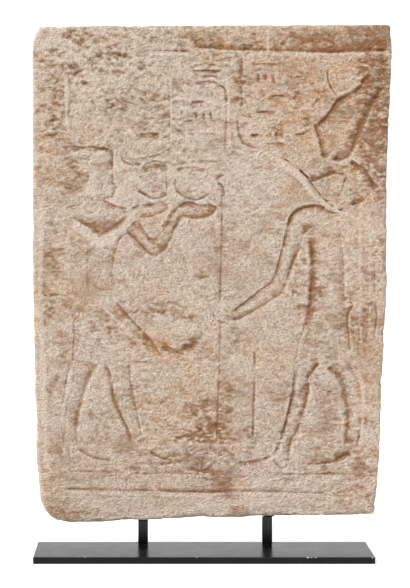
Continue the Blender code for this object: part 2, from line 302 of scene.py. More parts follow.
# The rounded forms inside the contours: how far their sides turn down, and points with the half width there.
FORMS = (
    # The king: his back leg, front leg, raised arm, other forearm, the two bowls and his head.
    (1.6, ((-154, 232, 15), (-162, 206, 12), (-167, 182, 9.5), (-169.5, 155, 8.5), (-168, 131, 8))),
    (1.6, ((-112, 232, 13), (-107.5, 201, 11.5), (-98, 170, 9), (-90, 141, 7.5))),
    (1.7, ((-99, 397, 6), (-84.5, 378, 7.5), (-71.5, 368.5, 7.5), (-61, 375, 7.5), (-52.5, 392, 7),
           (-44, 405, 7), (-32, 413, 7.5), (-14.5, 413, 7), (-1, 416, 4.5))),
    (1.1, ((-85, 413, 5.5), (-70, 414, 6), (-58, 419, 4.5))),
    (1.7, ((-77, 446, 11), (-60, 447, 11))),
    (1.7, ((-35, 446, 11.5), (-13, 447, 11.5))),
    (1.1, ((-131, 452, 12), (-130, 440, 12))),
    # The god's arm, front leg, back leg and body, and the king's body.
    (1.7, ((108, 402, 12), (98, 388, 10.5), (92.5, 368, 9), (84.5, 344, 7.8), (78, 326, 8.2), (64, 314, 7.6),
           (50, 304.6, 6.8), (36, 295, 5.8), (25, 288, 4.6))),
    (1.7, ((111, 242, 14), (106, 210, 9.5), (102.5, 188, 9), (96.5, 163, 9), (87, 138, 8))),
    (1.5, ((151, 228, 11), (165, 203, 9.5), (168, 179, 8.5), (167, 153, 8), (163, 131, 7.5))),
    (1.1, ((133, 384, 17), (137, 350, 18), (136, 310, 19), (135, 270, 22), (134, 240, 26))),
    (1.0, ((-130, 372, 17), (-134, 345, 14), (-132, 318, 16))),
)

# The crack through the god's head, piece by piece: its route, half width and depth.
CRACKS = (
    ([(84.5, 474.5), (91, 471)], 1.7, 3.5),
    ([(90, 471.5), (98, 465), (104.5, 460.5)], 0.6, 0.8),
    ([(103, 461.5), (108, 456.5), (115, 449.5)], 2.0, 4.5),
    ([(114, 450.5), (118.5, 443.7), (129.7, 429.6), (143.6, 417), (157, 412)], 1.1, 2.5),
)

# Old damage: the route of a scoop, its half width and its depth, with the steeper wall below it.
SCOOPS = (
    ([(-84, 307), (-66, 301), (-46, 303), (-26, 293)], 5.0, 2.0),
    ([(-62, 250), (-44, 246), (-28, 250), (-14, 262)], 9.0, 2.6),
    ([(-78, 300), (-62, 293), (-50, 290)], 5.0, 1.2),
    ([(-176, 622), (-150, 606)], 8.0, 2.0),
    ([(-150, 624), (-130, 612)], 7.0, 1.6),
    ([(-200, 583), (-175, 585), (-148, 588)], 5.0, 1.5),
    ([(-206, 600), (-180, 603)], 5.0, 1.5),
    ([(-118, 600), (-96, 592)], 6.0, 1.2),
    ([(-160, 566), (-138, 560)], 5.0, 1.0),
)

# Stone that stands proud: the route, its half width and height, and how pale it is rubbed and painted with a
# highlight.
RIDGES = (
    ([(65.6, 628), (65.9, 614), (66.2, 598)], 1.8, 0.4, 1.6),
    ([(-165, 400), (-148, 387), (-132, 375), (-110, 389), (-90, 408)], 6.5, 1.9, 0.9),
    ([(-157, 417), (-148, 407), (-140, 405), (-133, 413)], 3.5, 0.6, 0.4),
    ([(74, 470), (92, 461), (106, 449), (117, 434), (128, 424), (143, 415.5), (160, 407), (183, 394),
      (194, 376)], 3.8, 1.1, 1.0),
    ([(-84, 456), (-68, 458), (-52, 457)], 1.8, 0.9, 0.6),
    ([(-43, 455), (-25, 458), (-6, 456)], 1.8, 0.9, 0.6),
    ([(-86, 431), (-78, 427), (-70, 424), (-58, 428)], 2.0, 0.6, 0.5),
    ([(-45, 432), (-33, 425), (-14, 424), (-2, 431)], 2.0, 0.5, 0.4),
    ([(-72, 287), (-60, 285), (-46, 288)], 9.0, 1.3, 0.2),
    ([(-50, 273), (-34, 276), (-16, 274)], 11.0, 1.6, 0.2),
    ([(-80, 274), (-70, 268), (-62, 262)], 7.0, 1.0, 0.2),
    ([(-203, 431), (-203, 300), (-199, 200), (-196, 105)], 5.5, 0.8, 0.5),
    ([(174.5, 395), (175, 330), (176, 255)], 2.5, 0.5, 0.4),
    ([(186, 372), (187, 330), (186, 262)], 2.0, 0.4, 0.3),
    ([(-34, 467), (-12, 467.5), (20, 468)], 1.6, 0.5, 0.5),
    ([(60, 599), (110, 597.5), (165, 598), (205, 599)], 2.0, 0.5, 0.5),
    ([(-173, 79), (-109, 77.5), (-21, 75), (24, 77), (135, 74)], 2.0, 0.4, 0.4),
    ([(-72, 86), (-64, 79)], 3.0, 0.8, 0.2),
    ([(-166, 226), (-172, 200), (-177, 172), (-178, 148), (-174, 122)], 3.6, 1.1, 0.25),
    ([(171, 226), (178, 200), (178, 165), (176, 135)], 3.6, 1.0, 0.25),
    ([(-172, 107), (-150, 107.5), (-120, 107)], 1.6, 0.5, 0.4),
    ([(-100, 226), (-70, 227.5), (-52, 228)], 1.8, 0.5, 0.4),
    ([(-131, 300), (-112, 282), (-92, 262), (-76, 244)], 3.5, 0.8, 0.5),
    ([(-142, 458), (-143, 443), (-143, 428)], 9.0, 1.4, 0.7),
    ([(-165, 482), (-145, 482), (-124, 479)], 5.0, 0.9, 0.5),
    ([(-49, 570), (-49, 520), (-50, 492), (-56, 485), (-70, 479), (-92, 476)], 2.1, 1.3, 0.9),
    ([(-31, 565), (-31.5, 520), (-31.5, 488)], 1.7, 0.9, 0.6),
    ([(-112, 500), (-98, 506), (-88, 498)], 5.0, 0.8, 0.5),
    ([(-173, 573), (-172, 545), (-172, 520), (-168, 511)], 3.0, 0.9, 0.9),
    ([(-84, 598), (-54, 598), (-26, 597)], 1.8, 0.6, 0.8),
    ([(16, 566), (20, 545), (20, 500), (24, 486), (40, 480), (60, 478)], 2.0, 0.7, 0.5),
    ([(60, 482), (80, 472), (96, 460)], 3.5, 0.8, 0.8),
    ([(152, 411), (168, 404), (182, 396), (191, 384)], 5.5, 1.1, 0.9),
)

# Brown patina, and under the king's chin painted shade: centre, half width and half height of each patch, how
# strong it is.
STAINS = (
    (13, 91, 9, 9, 2.6),
    (31, 56, 9, 6, 3.0),
    (-172, 57, 22, 9, 0.85),
    (172, 105, 9, 16, 0.45),
    (-19, 107, 34, 6, 0.7),
    (4, 158, 30, 22, 0.7),
    (-34, 142, 20, 8, 0.5),
    (24, 196, 16, 16, 0.4),
    (194, 555, 20, 30, 1.7),
    (190, 505, 15, 44, 1.5),
    (199, 470, 10, 44, 0.8),
    (153, 533, 26, 13, 0.8),
    (205, 520, 10, 50, 0.6),
    (-185, 548, 9, 24, 0.45),
    (-167, 590, 26, 4, 0.6),
    (136, 320, 34, 60, 0.3),
    (182, 300, 16, 70, 0.3),
    (-140, 180, 40, 50, 0.22),
    (75, 190, 30, 50, 0.22),
    (-150, 492, 32, 4, 0.6),
    (-169, 468, 6, 10, 0.7),
    (-162, 441, 18, 13, 0.4),
    (-176, 470, 14, 30, 0.25),
    (-186, 340, 9, 30, 0.15),
    (-187, 158, 8, 54, 0.35),
    (-187, 250, 8, 60, 0.25),
    (-190, 350, 9, 12, 0.55),
    (-157, 455, 9, 14, 0.5),
    (-128, 285, 26, 22, 0.2),
    (-130, 170, 34, 40, 0.15),
    (136, 170, 30, 50, 0.32),
    (120, 545, 50, 36, 0.35),
    (-53, 297, 28, 5, 0.5),
    (-26, 254, 14, 8, 0.5),
    (156, 288, 6, 22, 0.25),
    (134, 455, 12, 5, 0.8),
    (-8, 109, 34, 5, 0.8),
    (-52, 112, 30, 3, 0.5),
    (158, 175, 5, 46, 0.3),
    (-80, 266, 8, 7, 0.7),
    (-66, 250, 12, 10, 0.5),
    (-154, 617, 22, 9, 0.55),
    (-105, 550, 50, 14, 0.22),
    (-68, 540, 20, 12, 0.3),
    (-133, 398, 18, 8, 0.7),
    (-72, 371, 15, 11, 0.5),
    (-20, 411, 24, 6, 0.4),
    (-80, 404, 18, 6, 0.3),
    # This patch is painted shade under the king's chin, in front of his neck.
    (-126, 427, 7, 9, 0.5),
    (30, 614, 30, 9, 0.15),
    (120, 613, 60, 12, 0.55),
    (165, 614, 40, 15, 1.15),
    (-90, 613, 60, 10, 0.3),
    (198, 612, 24, 18, 1.8),
    (-10, 342, 5, 4, 0.9),
    (10, 372, 5, 3.5, 0.9),
    (3, 403, 4, 4, 0.7),
    (124, 392, 8, 8, 0.6),
    (70, 503, 6, 9, 0.7),
    (34, 562, 5, 38, 0.35),
)

# Stone stained warmer by iron, or colder where the strength is below zero.
WARMTH = (
    (145, 540, 90, 100, 0.95),
    (160, 533, 40, 26, 0.6),
    (100, 612, 130, 16, 0.7),
    (190, 600, 40, 30, 0.8),
    (178, 236, 24, 150, 0.5),
    (-10, 160, 60, 40, 0.15),
    (20, 90, 30, 14, 0.6),
    (-68, 385, 26, 26, 0.45),
    (-20, 413, 26, 9, 0.45),
    (60, 320, 60, 30, 0.2),
    (115, 330, 12, 60, 0.4),
    (-200, 500, 18, 120, 0.4),
    (-198, 250, 14, 140, 0.35),
    (-50, 302, 34, 9, 0.5),
    (-66, 250, 16, 20, 0.5),
    (-156, 395, 26, 14, 0.3),
    (-40, 490, 42, 62, -0.8),
    (40, 440, 24, 60, -0.7),
    (-20, 350, 80, 44, -0.4),
    (-140, 150, 46, 70, -0.6),
    (0, 105, 190, 14, -0.35),
    (90, 150, 50, 40, -0.2),
    (-120, 570, 60, 40, -0.3),
    (-118, 452, 34, 30, -0.7),
    (110, 100, 80, 20, -0.4),
    (-60, 60, 120, 16, -0.3),
)

# Stone with a pinker cast, or yellower where the strength is below zero.
BLUSH = (
    (185, 140, 30, 110, 0.7),
    (110, 190, 44, 60, 0.45),
    (-110, 170, 60, 50, 0.35),
    (170, 560, 46, 90, 0.5),
    (15, 100, 70, 30, 0.5),
    (-100, 560, 110, 80, -0.3),
    (-180, 420, 40, 90, -0.3),
    (110, 330, 60, 100, 0.35),
    (185, 520, 30, 100, 0.6),
)

# Pale, rubbed stone, given in the same way.
RUBBED = (
    (177, 393, 24, 18, 0.7),
    (-20, 440, 60, 40, 0.3),
    (-203, 224, 5, 120, 0.5),
    (-140, 478, 22, 9, 0.5),
    (75, 449, 50, 30, 0.1),
    (-150, 560, 60, 50, 0.35),
    (0, 500, 20, 60, 0.3),
    (-150, 160, 40, 60, 0.1),
    (-102, 252, 20, 18, 0.5),
    (150, 345, 22, 70, 0.25),
    (0, 60, 190, 12, 0.5),
    (80, 92, 90, 14, 0.3),
    (-196, 616, 26, 20, 0.8),
    (-115, 452, 26, 28, 0.6),
    (-8, 525, 34, 46, 0.5),
    (-194, 160, 14, 90, 0.4),
    (182, 150, 16, 60, 0.45),
    (-190, 330, 22, 60, 0.3),
    (-160, 600, 60, 30, 0.3),
    (-196, 520, 16, 60, 0.5),
    (174, 400, 20, 11, 0.6),
)

# Rough, eroded stone where the strength is above zero, and smooth where it is below.
ROUGH = (
    (-130, 590, 90, 50, 0.75),
    (60, 614, 190, 12, 0.35),
    (-90, 612, 60, 12, 0.3),
    (-60, 505, 40, 60, 0.3),
    (60, 545, 40, 40, 0.4),
    (-195, 540, 22, 60, 0.5),
    (-150, 500, 50, 20, 0.5),
    (150, 470, 60, 40, 0.4),
    (195, 540, 20, 80, 0.8),
    (0, 150, 60, 50, 0.6),
    (75, 445, 56, 36, -0.3),
    (60, 350, 50, 60, 0.2),
    (-204, 280, 6, 160, -0.6),
    (-140, 480, 26, 10, -0.3),
    (60, 115, 90, 12, -0.3),
    (124, 325, 12, 56, -0.4),
    (136, 320, 30, 56, -0.4),
    (-140, 160, 60, 60, -0.4),
    (-195, 130, 30, 90, -0.25),
)


# ---------------------------------------------------------------------------------------------
# The raster of the face
# ---------------------------------------------------------------------------------------------

CELL = 0.5
ACROSS = np.arange(-216.0, 216.0 + CELL, CELL)
UP = np.arange(38.0, 638.0 + CELL, CELL)
FACE_SHAPE = (len(UP), len(ACROSS))
# How much of their spread unit random values keep when a smooth curve runs through them in two directions.
NOISE_SPREAD = 0.479
ROUTE_STEP = 1.6  # how far apart the points of a route are

# Random fields, each layer given as its height, its seed and the width and height of its bumps.
EDGE_WANDER = ((0.5, 11, 5.0), (0.45, 12, 2.4))
WEAR = ((0.35, 13, 18.0), (0.3, 14, 6.0))
SCOOP_EDGE = ((0.25, 21, 9.0), (0.2, 22, 3.5))
RIDGE_EDGE = ((0.2, 23, 8.0), (0.15, 24, 3.0))
ROUGHNESS = ((0.22, 39, 30.0), (0.18, 38, 12.0))
DRESSED = ((0.40, 31, 75.0), (0.38, 32, 32.0), (0.20, 33, 14.0, 9.0))
PECKED = ((0.17, 34, 4.2, 2.7), (0.16, 35, 2.8, 1.8), (0.10, 36, 1.9, 1.3))
FLAKE_PITS = ((0.28, 47, 11.0, 6.5), (0.26, 48, 6.0, 3.6))
BACK_DISHES = ((0.4, 41, 60.0),)
BACK_TOOLING = ((0.5, 42, 8.0, 34.0), (0.25, 43, 5.0))
SIDE_BREAKS = ((0.7, 51, 16.0), (0.5, 52, 6.0), (0.3, 53, 3.2))
EDGE_CHIPS = ((0.35, 61, 14.0), (0.45, 62, 5.0), (0.25, 63, 2.4))
ARRIS_SPREAD = ((1.1, 64, 22.0), (0.9, 65, 7.0))
BACK_ARRIS_SPREAD = ((1.6, 66, 20.0),)
PATINA_DRIFT = ((0.10, 83, 45.0), (0.11, 84, 13.0, 9.0))
WARMTH_DRIFT = ((0.12, 103, 30.0), (0.12, 104, 8.0))
BLUSH_DRIFT = ((0.2, 113, 35.0),)
# Flakes have flat tops, so their layers also give, second, how steep their sides are.
FLAKES = ((0.25, 2.6, 44, 22.0, 14.0), (0.20, 2.6, 45, 12.0, 7.5), (0.15, 2.2, 46, 6.5, 4.2))
# The first of the seeds that each table of patches takes.
ROUGH_SEED, STAIN_SEED, RUBBED_SEED, WARMTH_SEED, BLUSH_SEED = 71, 81, 91, 101, 111
PATCH_DRIFT = 26.0

# Small pits: the seed and size of their bumps, the height where they begin, how fast they deepen and how far.
PIT_BUMPS = (37, 3.2, 2.2)
PIT_LEVEL, PIT_RANGE, PIT_DEPTH = 3.0, 0.9, 0.5
FLAKE_PIT_LIMIT = 1.6
BROKEN_GAIN = 1.3  # how much flakes and pecking are raised all together

# How much the edge of a cut strays, how sharply a cut or a scoop gives way to a deeper one, how much of a
# cut's depth is gone where the stone is most worn, and how full the slopes of strokes and forms are.
STRAY = 0.35
CUT_SHARPNESS, SCOOP_SHARPNESS = 4, 3
WORN_AWAY = 0.3
SLOPE_CURVE, FORM_CURVE = 1.8, 2.2

# What is left at a route's two ends, in millimetres of its taper, and how long the taper is.
STROKE_TAPER = (1.0, 5.0)
FORM_TAPER = (1.0, 9.0)
SCOOP_TAPER = (3.0, 12.0)
RIDGE_TAPER = (1.0, 6.0)
CRACK_TAPER = (0.6, 3.0)


def spline_weights(places, spacing, knots):
    """One row for each place: the weights of a smooth curve's knots there."""
    away = np.abs((places - places[0])[:, None] / spacing + 1.5 - np.arange(knots)[None, :])
    near = 2 / 3 - away**2 + away**3 / 2
    far = np.clip(2 - away, 0, None) ** 3 / 6
    return np.where(away < 1, near, far)


def noise(seed, across, up=None):
    """A smooth random field over the face with bumps about that many millimetres wide and high."""
    up = up or across
    columns = int((ACROSS[-1] - ACROSS[0]) / across) + 5
    rows = int((UP[-1] - UP[0]) / up) + 5
    knots = np.random.default_rng(seed).normal(size=(rows, columns))
    field = spline_weights(UP, up, rows) @ knots @ spline_weights(ACROSS, across, columns).T
    return field / NOISE_SPREAD


def layered(level, layers):
    """A level with layers of random bumps on it."""
    return sum((height * noise(*bumps) for height, *bumps in layers), level)


def sample(field, x, z):
    """The field's value at places given in millimetres."""
    column = np.clip((x - ACROSS[0]) / CELL, 0, len(ACROSS) - 1.001)
    row = np.clip((z - UP[0]) / CELL, 0, len(UP) - 1.001)
    i, j = row.astype(int), column.astype(int)
    di, dj = row - i, column - j
    low = field[i, j] * (1 - dj) + field[i, j + 1] * dj
    high = field[i + 1, j] * (1 - dj) + field[i + 1, j + 1] * dj
    return low * (1 - di) + high * di


def blurred(field, width):
    """The field smoothed over a width in millimetres."""
    up = np.fft.fftfreq(field.shape[0], CELL)[:, None]
    across = np.fft.rfftfreq(field.shape[1], CELL)[None, :]
    keep = np.exp(-2 * (math.pi * width) ** 2 * (up**2 + across**2))
    return np.fft.irfft2(np.fft.rfft2(field) * keep, s=field.shape)


def smooth_step(value):
    value = np.clip(value, 0, 1)
    return value * value * (3 - 2 * value)


def bell(distance, width):
    """1 at no distance, falling smoothly away over the width."""
    return np.exp(-((distance / width) ** 2))


def tapered(along, length, start, reach):
    """1 along the middle of a route, falling over the reach towards what is left of it at the two ends."""
    return smooth_step((np.minimum(along, length - along) + start) / reach)


def joined(one, other, sharpness):
    """The deeper of two cuts, run smoothly into each other."""
    return (one**sharpness + other**sharpness) ** (1 / sharpness)


def lay(field, window, values):
    """Puts values into a window of a field, where they are larger than what it holds."""
    field[window] = np.maximum(field[window], values)


def smooth_route(points):
    """Points a short step apart along a smooth curve through the given ones."""
    places = [Vector((x, z, 0.0)) for x, z in points]
    ends = [places[0] * 2 - places[1]] + places + [places[-1] * 2 - places[-2]]
    route = [places[0]]
    for before, start, end, after in zip(ends, ends[1:], ends[2:], ends[3:]):
        pieces = max(1, round((end - start).length / ROUTE_STEP))
        first = start + (end - before) / 6
        second = end - (after - start) / 6
        route += interpolate_bezier(start, first, second, end, pieces + 1)[1:]
    return np.array([(place.x, place.y) for place in route])


def distances(route, reach):
    """The window near a route, there the distance from it, its side and how far along, and its length."""
    low = route.min(0) - reach
    high = route.max(0) + reach
    rows = slice(max(0, int((low[1] - UP[0]) / CELL)), max(1, int((high[1] - UP[0]) / CELL) + 2))
    columns = slice(max(0, int((low[0] - ACROSS[0]) / CELL)), max(1, int((high[0] - ACROSS[0]) / CELL) + 2))
    x, z = ACROSS[columns], UP[rows]
    nearest = np.full((len(z), len(x)), 4.0 * reach * reach)
    side = np.ones_like(nearest)
    along = np.zeros_like(nearest)
    travelled = 0.0
    for start, end in zip(route, route[1:]):
        run = end - start
        length = math.hypot(*run)
        near_x = slice(*np.searchsorted(x, (min(start[0], end[0]) - reach, max(start[0], end[0]) + reach)))
        near_z = slice(*np.searchsorted(z, (min(start[1], end[1]) - reach, max(start[1], end[1]) + reach)))
        px = x[near_x][None, :] - start[0]
        pz = z[near_z][:, None] - start[1]
        share = np.clip((px * run[0] + pz * run[1]) / (length * length), 0, 1)
        square = (px - share * run[0]) ** 2 + (pz - share * run[1]) ** 2
        window = (near_z, near_x)
        closer = square < nearest[window]
        nearest[window] = np.where(closer, square, nearest[window])
        cross = run[0] * pz - run[1] * px
        side[window] = np.where(closer, np.sign(cross), side[window])
        along[window] = np.where(closer, travelled + share * length, along[window])
        travelled += length
    return (rows, columns), np.sqrt(nearest), side, along, travelled


class Relief:
    """The carved face: how deep it is cut, where brown grime and painted shade lie along its cuts, and which
    edges are worn pale and painted with a highlight.
    """

    def __init__(self, depth_scale):
        self.depth_scale = depth_scale
        self.cut, self.raised, self.brown, self.dark, self.pale = (np.zeros(FACE_SHAPE) for _ in range(5))
        self.wander = layered(0.0, EDGE_WANDER)
        self.wear = smooth_step(layered(0.45, WEAR))
        self.scoop_edge = layered(1.0, SCOOP_EDGE)
        self.ridge_edge = layered(1.0, RIDGE_EDGE)

    def stroke(self, kind, figure_side, points, strength=1.0):
        """A cut with a steep wall on one side and a rounded slope on the figure's."""
        depth, wall_width, slope_width, dirt_and_shade_width, dirt_and_shade = CUTS[kind]
        reach = max(wall_width, slope_width, 2 * dirt_and_shade_width) + 3.0
        window, distance, side, along, length = distances(smooth_route(points), reach)
        wander, wear = self.wander[window], self.wear[window]
        on_figure = side * figure_side > 0
        distance = np.abs(distance + wander * STRAY)
        wall = smooth_step(1 - distance / wall_width)
        slope = np.clip(1 - distance / slope_width, 0, 1) ** SLOPE_CURVE
        taper = tapered(along, length, *STROKE_TAPER)
        share = strength * taper * (1 - WORN_AWAY * wear)
        cut = depth * self.depth_scale * share * np.where(on_figure, slope, wall)
        self.cut[window] = joined(self.cut[window], cut, CUT_SHARPNESS)
        # Along the cut, the brown and its darker core are dirt and painted shade together; the pale line
        # outside the wall is worn stone and a painted highlight together.
        spread_width = dirt_and_shade_width * np.where(on_figure, 1.0, 0.4) * (1 + STRAY * wander)
        marking = dirt_and_shade * min(1.0, strength) * taper * (1 - 0.35 * wear)
        crisp = np.clip(7.0 / slope_width, 0.5, 1.0)
        outside = bell(distance - wall_width - 0.8, 1.3) * ~on_figure
        lay(self.brown, window, marking * bell(distance, np.maximum(spread_width, 0.3)))
        lay(self.dark, window, crisp * marking * bell(distance, 1.1) * (1 - 0.5 * wear))
        lay(self.pale, window, 0.5 * marking * outside)

    def form(self, depth, places):
        """A limb with rounded sides, set down into the face."""
        route = smooth_route([place[:2] for place in places])
        halves = [place[2] for place in places]
        window, distance, _, along, length = distances(route, max(halves) + 5.0)
        steps = np.hypot(*np.diff(np.array(places)[:, :2], axis=0).T)
        stops = np.concatenate([[0], np.cumsum(steps)]) * length / steps.sum()
        half = np.interp(along, stops, halves) + 0.4 * self.wander[window]
        beyond = distance - half
        strength = tapered(along, length, *FORM_TAPER) * (distance < half + 4.0)
        wear = self.wear[window]
        wall = 1 - smooth_step(beyond / 2.0)
        top = np.minimum(distance / half, 1.0) ** FORM_CURVE
        drop = np.where(beyond < 0, top, wall) * strength * (1 - 0.4 * wear)
        cut = np.zeros(FACE_SHAPE)
        cut[window] = depth * self.depth_scale * drop
        self.cut = joined(self.cut, cut, CUT_SHARPNESS)
        # The brown along the form's edge is dirt and painted shade together.
        lay(self.brown, window, bell(beyond + 0.6, 2.0) * strength * 0.18 * (1 - 0.6 * wear))

    def signs(self, low, high, height, count, tall, kind):
        """A row of shallow strokes, lying or upright, where the signs stood."""
        pitch = (high - low) / count
        for index in range(count):
            start = low + index * pitch
            if tall:
                middle = start + pitch / 2
                self.stroke(kind, RIGHT, [(middle, height + tall / 2), (middle, height - tall / 2)])
            else:
                end = start + pitch - (SIGN_GAP if count > 1 else 0)
                self.stroke(kind, RIGHT, [(start, height), ((start + end) / 2, height + 0.6), (end, height)])

    def scoop(self, points, half_width, depth):
        """A broken hollow, steeper on one side."""
        window, distance, side, along, length = distances(smooth_route(points), half_width * 1.8)
        width = half_width * np.where(side < 0, 0.7, 1.2) * self.scoop_edge[window]
        taper = tapered(along, length, *SCOOP_TAPER)
        bowl = smooth_step(1 - distance / np.maximum(width, 1.0)) * taper * depth
        self.cut[window] = joined(self.cut[window], bowl, SCOOP_SHARPNESS)

    def ridge(self, points, half_width, height, rubbed_and_highlight):
        """Stone left standing along a route, paler where it is worn and where a highlight is painted."""
        window, distance, _, along, length = distances(smooth_route(points), half_width * 1.6)
        width = half_width * np.maximum(self.ridge_edge[window], 0.3)
        swell = smooth_step(1.4 * (1 - distance / width)) * tapered(along, length, *RIDGE_TAPER)
        lay(self.raised, window, swell * height)
        lay(self.pale, window, swell * rubbed_and_highlight)

    def crack(self, points, half_width, depth):
        """A narrow gap with ragged walls, its bottom painted dark as shade."""
        window, distance, _, along, length = distances(smooth_route(points), 6.0)
        distance = np.abs(distance + 0.5 * self.wander[window])
        taper = tapered(along, length, *CRACK_TAPER)
        lay(self.cut, window, smooth_step(1 - distance / half_width) * taper * depth)
        # The dark at the crack's bottom is painted shade.
        lay(self.dark, window, min(1.6, 0.9 * half_width) * bell(distance, 0.5 * half_width) * taper)

    def detail(self):
        """Where the carving needs the finest mesh, 0 to 1."""
        walls = np.abs(blurred(self.cut, 0.8) - blurred(self.cut, 2.0)) / 0.25 + self.dark
        return np.clip(0.15 + 1.2 * blurred(np.clip(walls, 0, 1), 0.8), 0, 1)


def patches(spots, seed):
    """A field from soft, uneven round patches: what a patch adds or, below zero, takes away."""
    x = layered(ACROSS[None, :], ((6.0, seed + 2, PATCH_DRIFT),))
    z = layered(UP[:, None], ((5.0, seed + 3, PATCH_DRIFT),))
    ragged = layered(0.0, ((0.5, seed, 9.0, 6.0), (0.4, seed + 1, 3.5, 2.2)))
    more = np.zeros(FACE_SHAPE)
    less = np.zeros(FACE_SHAPE)
    for centre_x, centre_z, half_width, half_height, strength in spots:
        away = np.sqrt(((x - centre_x) / half_width) ** 2 + ((z - centre_z) / half_height) ** 2)
        patch = strength * np.exp(-0.8 * away**2) * np.clip(1 + 0.45 * ragged, 0, 1.8)
        more = np.maximum(more, patch)
        less = np.minimum(less, patch)
    return more + less


# ---------------------------------------------------------------------------------------------
# The slab's block
# ---------------------------------------------------------------------------------------------

ARC_STEP = math.radians(10)
GRID_STEP = 1.0
SIDE_LAYERS = 12
EDGE_REACH = 24.0  # how far in from the outline the distance to it is worked out
SEAT_FADE = 6.0
ON_SIDE = 1e-4  # how near 0 or 1 a share is taken as the edge itself
# The fields that fade off the face hold painted shade and highlights as well as weathering.
FACE_DEPTH, FACE_FADE = 7.0, 6.0  # how far back the carving reaches, and how much further weathering fades
MOST_TRIANGLES = 194_000
DETAIL_LEVELS = 5
DETAIL_PULL = 3e-5  # how strongly the finest detail is held back from thinning
BOX_GAP = 0.02  # how far the slab stays inside its box

# Which way is in from each side of the slab, and the ends of the sides that meet at its corners.
INWARD = {"left": (1, 0), "top": (0, -1), "right": (-1, 0), "bottom": (0, 1)}
MEETINGS = (
    ("left", 0, "bottom", 0), ("left", -1, "top", 0), ("right", 0, "bottom", -1), ("right", -1, "top", -1)
)


def rounded_outline(corners):
    """The outline with each corner turned into an arc, and where each corner's middle falls in it."""
    outline, middles = [], []
    for index, (x, z, radius) in enumerate(corners):
        corner = Vector((x, z))
        before = (Vector(corners[index - 1][:2]) - corner).normalized()
        after = (Vector(corners[(index + 1) % len(corners)][:2]) - corner).normalized()
        half_angle = before.angle(after) / 2
        setback = radius / math.tan(half_angle)
        turn = math.pi - 2 * half_angle
        centre = corner + (before + after).normalized() * radius / math.sin(half_angle)
        start = corner + before * setback - centre
        side = math.copysign(1.0, start.cross(corner + after * setback - centre))
        steps = 2 * max(1, round(turn / ARC_STEP / 2))
        middles.append(len(outline) + steps // 2)
        for step in range(steps + 1):
            angle = side * turn * step / steps
            outline.append((centre.x + start.x * math.cos(angle) - start.y * math.sin(angle),
                            centre.y + start.x * math.sin(angle) + start.y * math.cos(angle)))
    return np.array(outline), middles


def evenly(points, count):
    """The same line with its points the same distance apart."""
    lengths = np.concatenate([[0], np.cumsum(np.hypot(*np.diff(points, axis=0).T))])
    places = np.linspace(0, lengths[-1], count)
    return np.stack([np.interp(places, lengths, points[:, axis]) for axis in (0, 1)], axis=1)


def four_sides():
    """The rounded outline cut at the block's corners: its sides run up, its top and bottom to the right."""
    outline, middles = rounded_outline(SLAB_EDGE)
    lower_left, *others = (middles[index] for index in CORNERS)
    ring = np.roll(outline, -lower_left, axis=0)
    ring = np.vstack([ring, ring[:1]])
    upper_left, upper_right, lower_right = ((middle - lower_left) % len(outline) for middle in others)
    return {
        "left": ring[: upper_left + 1],
        "top": ring[upper_left : upper_right + 1],
        "right": ring[upper_right : lower_right + 1][::-1],
        "bottom": ring[lower_right:][::-1],
    }


def broken_edge(line, chips, inward):
    """A side of the outline with chips pushed in, apart from the flat seats."""
    depth = np.clip(sample(chips, line[:, 0], line[:, 1]), 0, None)
    if inward[1] > 0:
        for low, high in SEATS:
            depth *= np.clip(np.maximum(low - line[:, 0], line[:, 0] - high) / SEAT_FADE, 0, 1)
    return line + depth[:, None] * np.array(inward)


def eased(radius, inset):
    """How far a rounded edge has fallen back at each distance in from it."""
    return radius - np.sqrt(radius**2 - np.clip(radius - inset, 0, radius) ** 2)


def new_mesh(name, shape):
    """A mesh from a bmesh, which is freed."""
    mesh = bpy.data.meshes.new(name)
    shape.to_mesh(mesh)
    shape.free()
    return mesh


def block_mesh(name, columns, rows):
    """A closed block from 0 to 1 each way with a fine grid on its front and back."""
    block = bmesh.new()
    for height in (0.0, 1.0):
        place = Matrix.Translation((0.5, 0.5, height))
        bmesh.ops.create_grid(block, x_segments=columns, y_segments=rows, size=0.5, matrix=place)
    rims = [edge for edge in block.edges if edge.is_boundary]
    across = bmesh.ops.bridge_loops(block, edges=rims)["edges"]
    block.normal_update()
    bmesh.ops.subdivide_edges(block, edges=across, cuts=SIDE_LAYERS - 1, use_grid_fill=True)
    bmesh.ops.recalc_face_normals(block, faces=block.faces)
    return new_mesh(name, block)


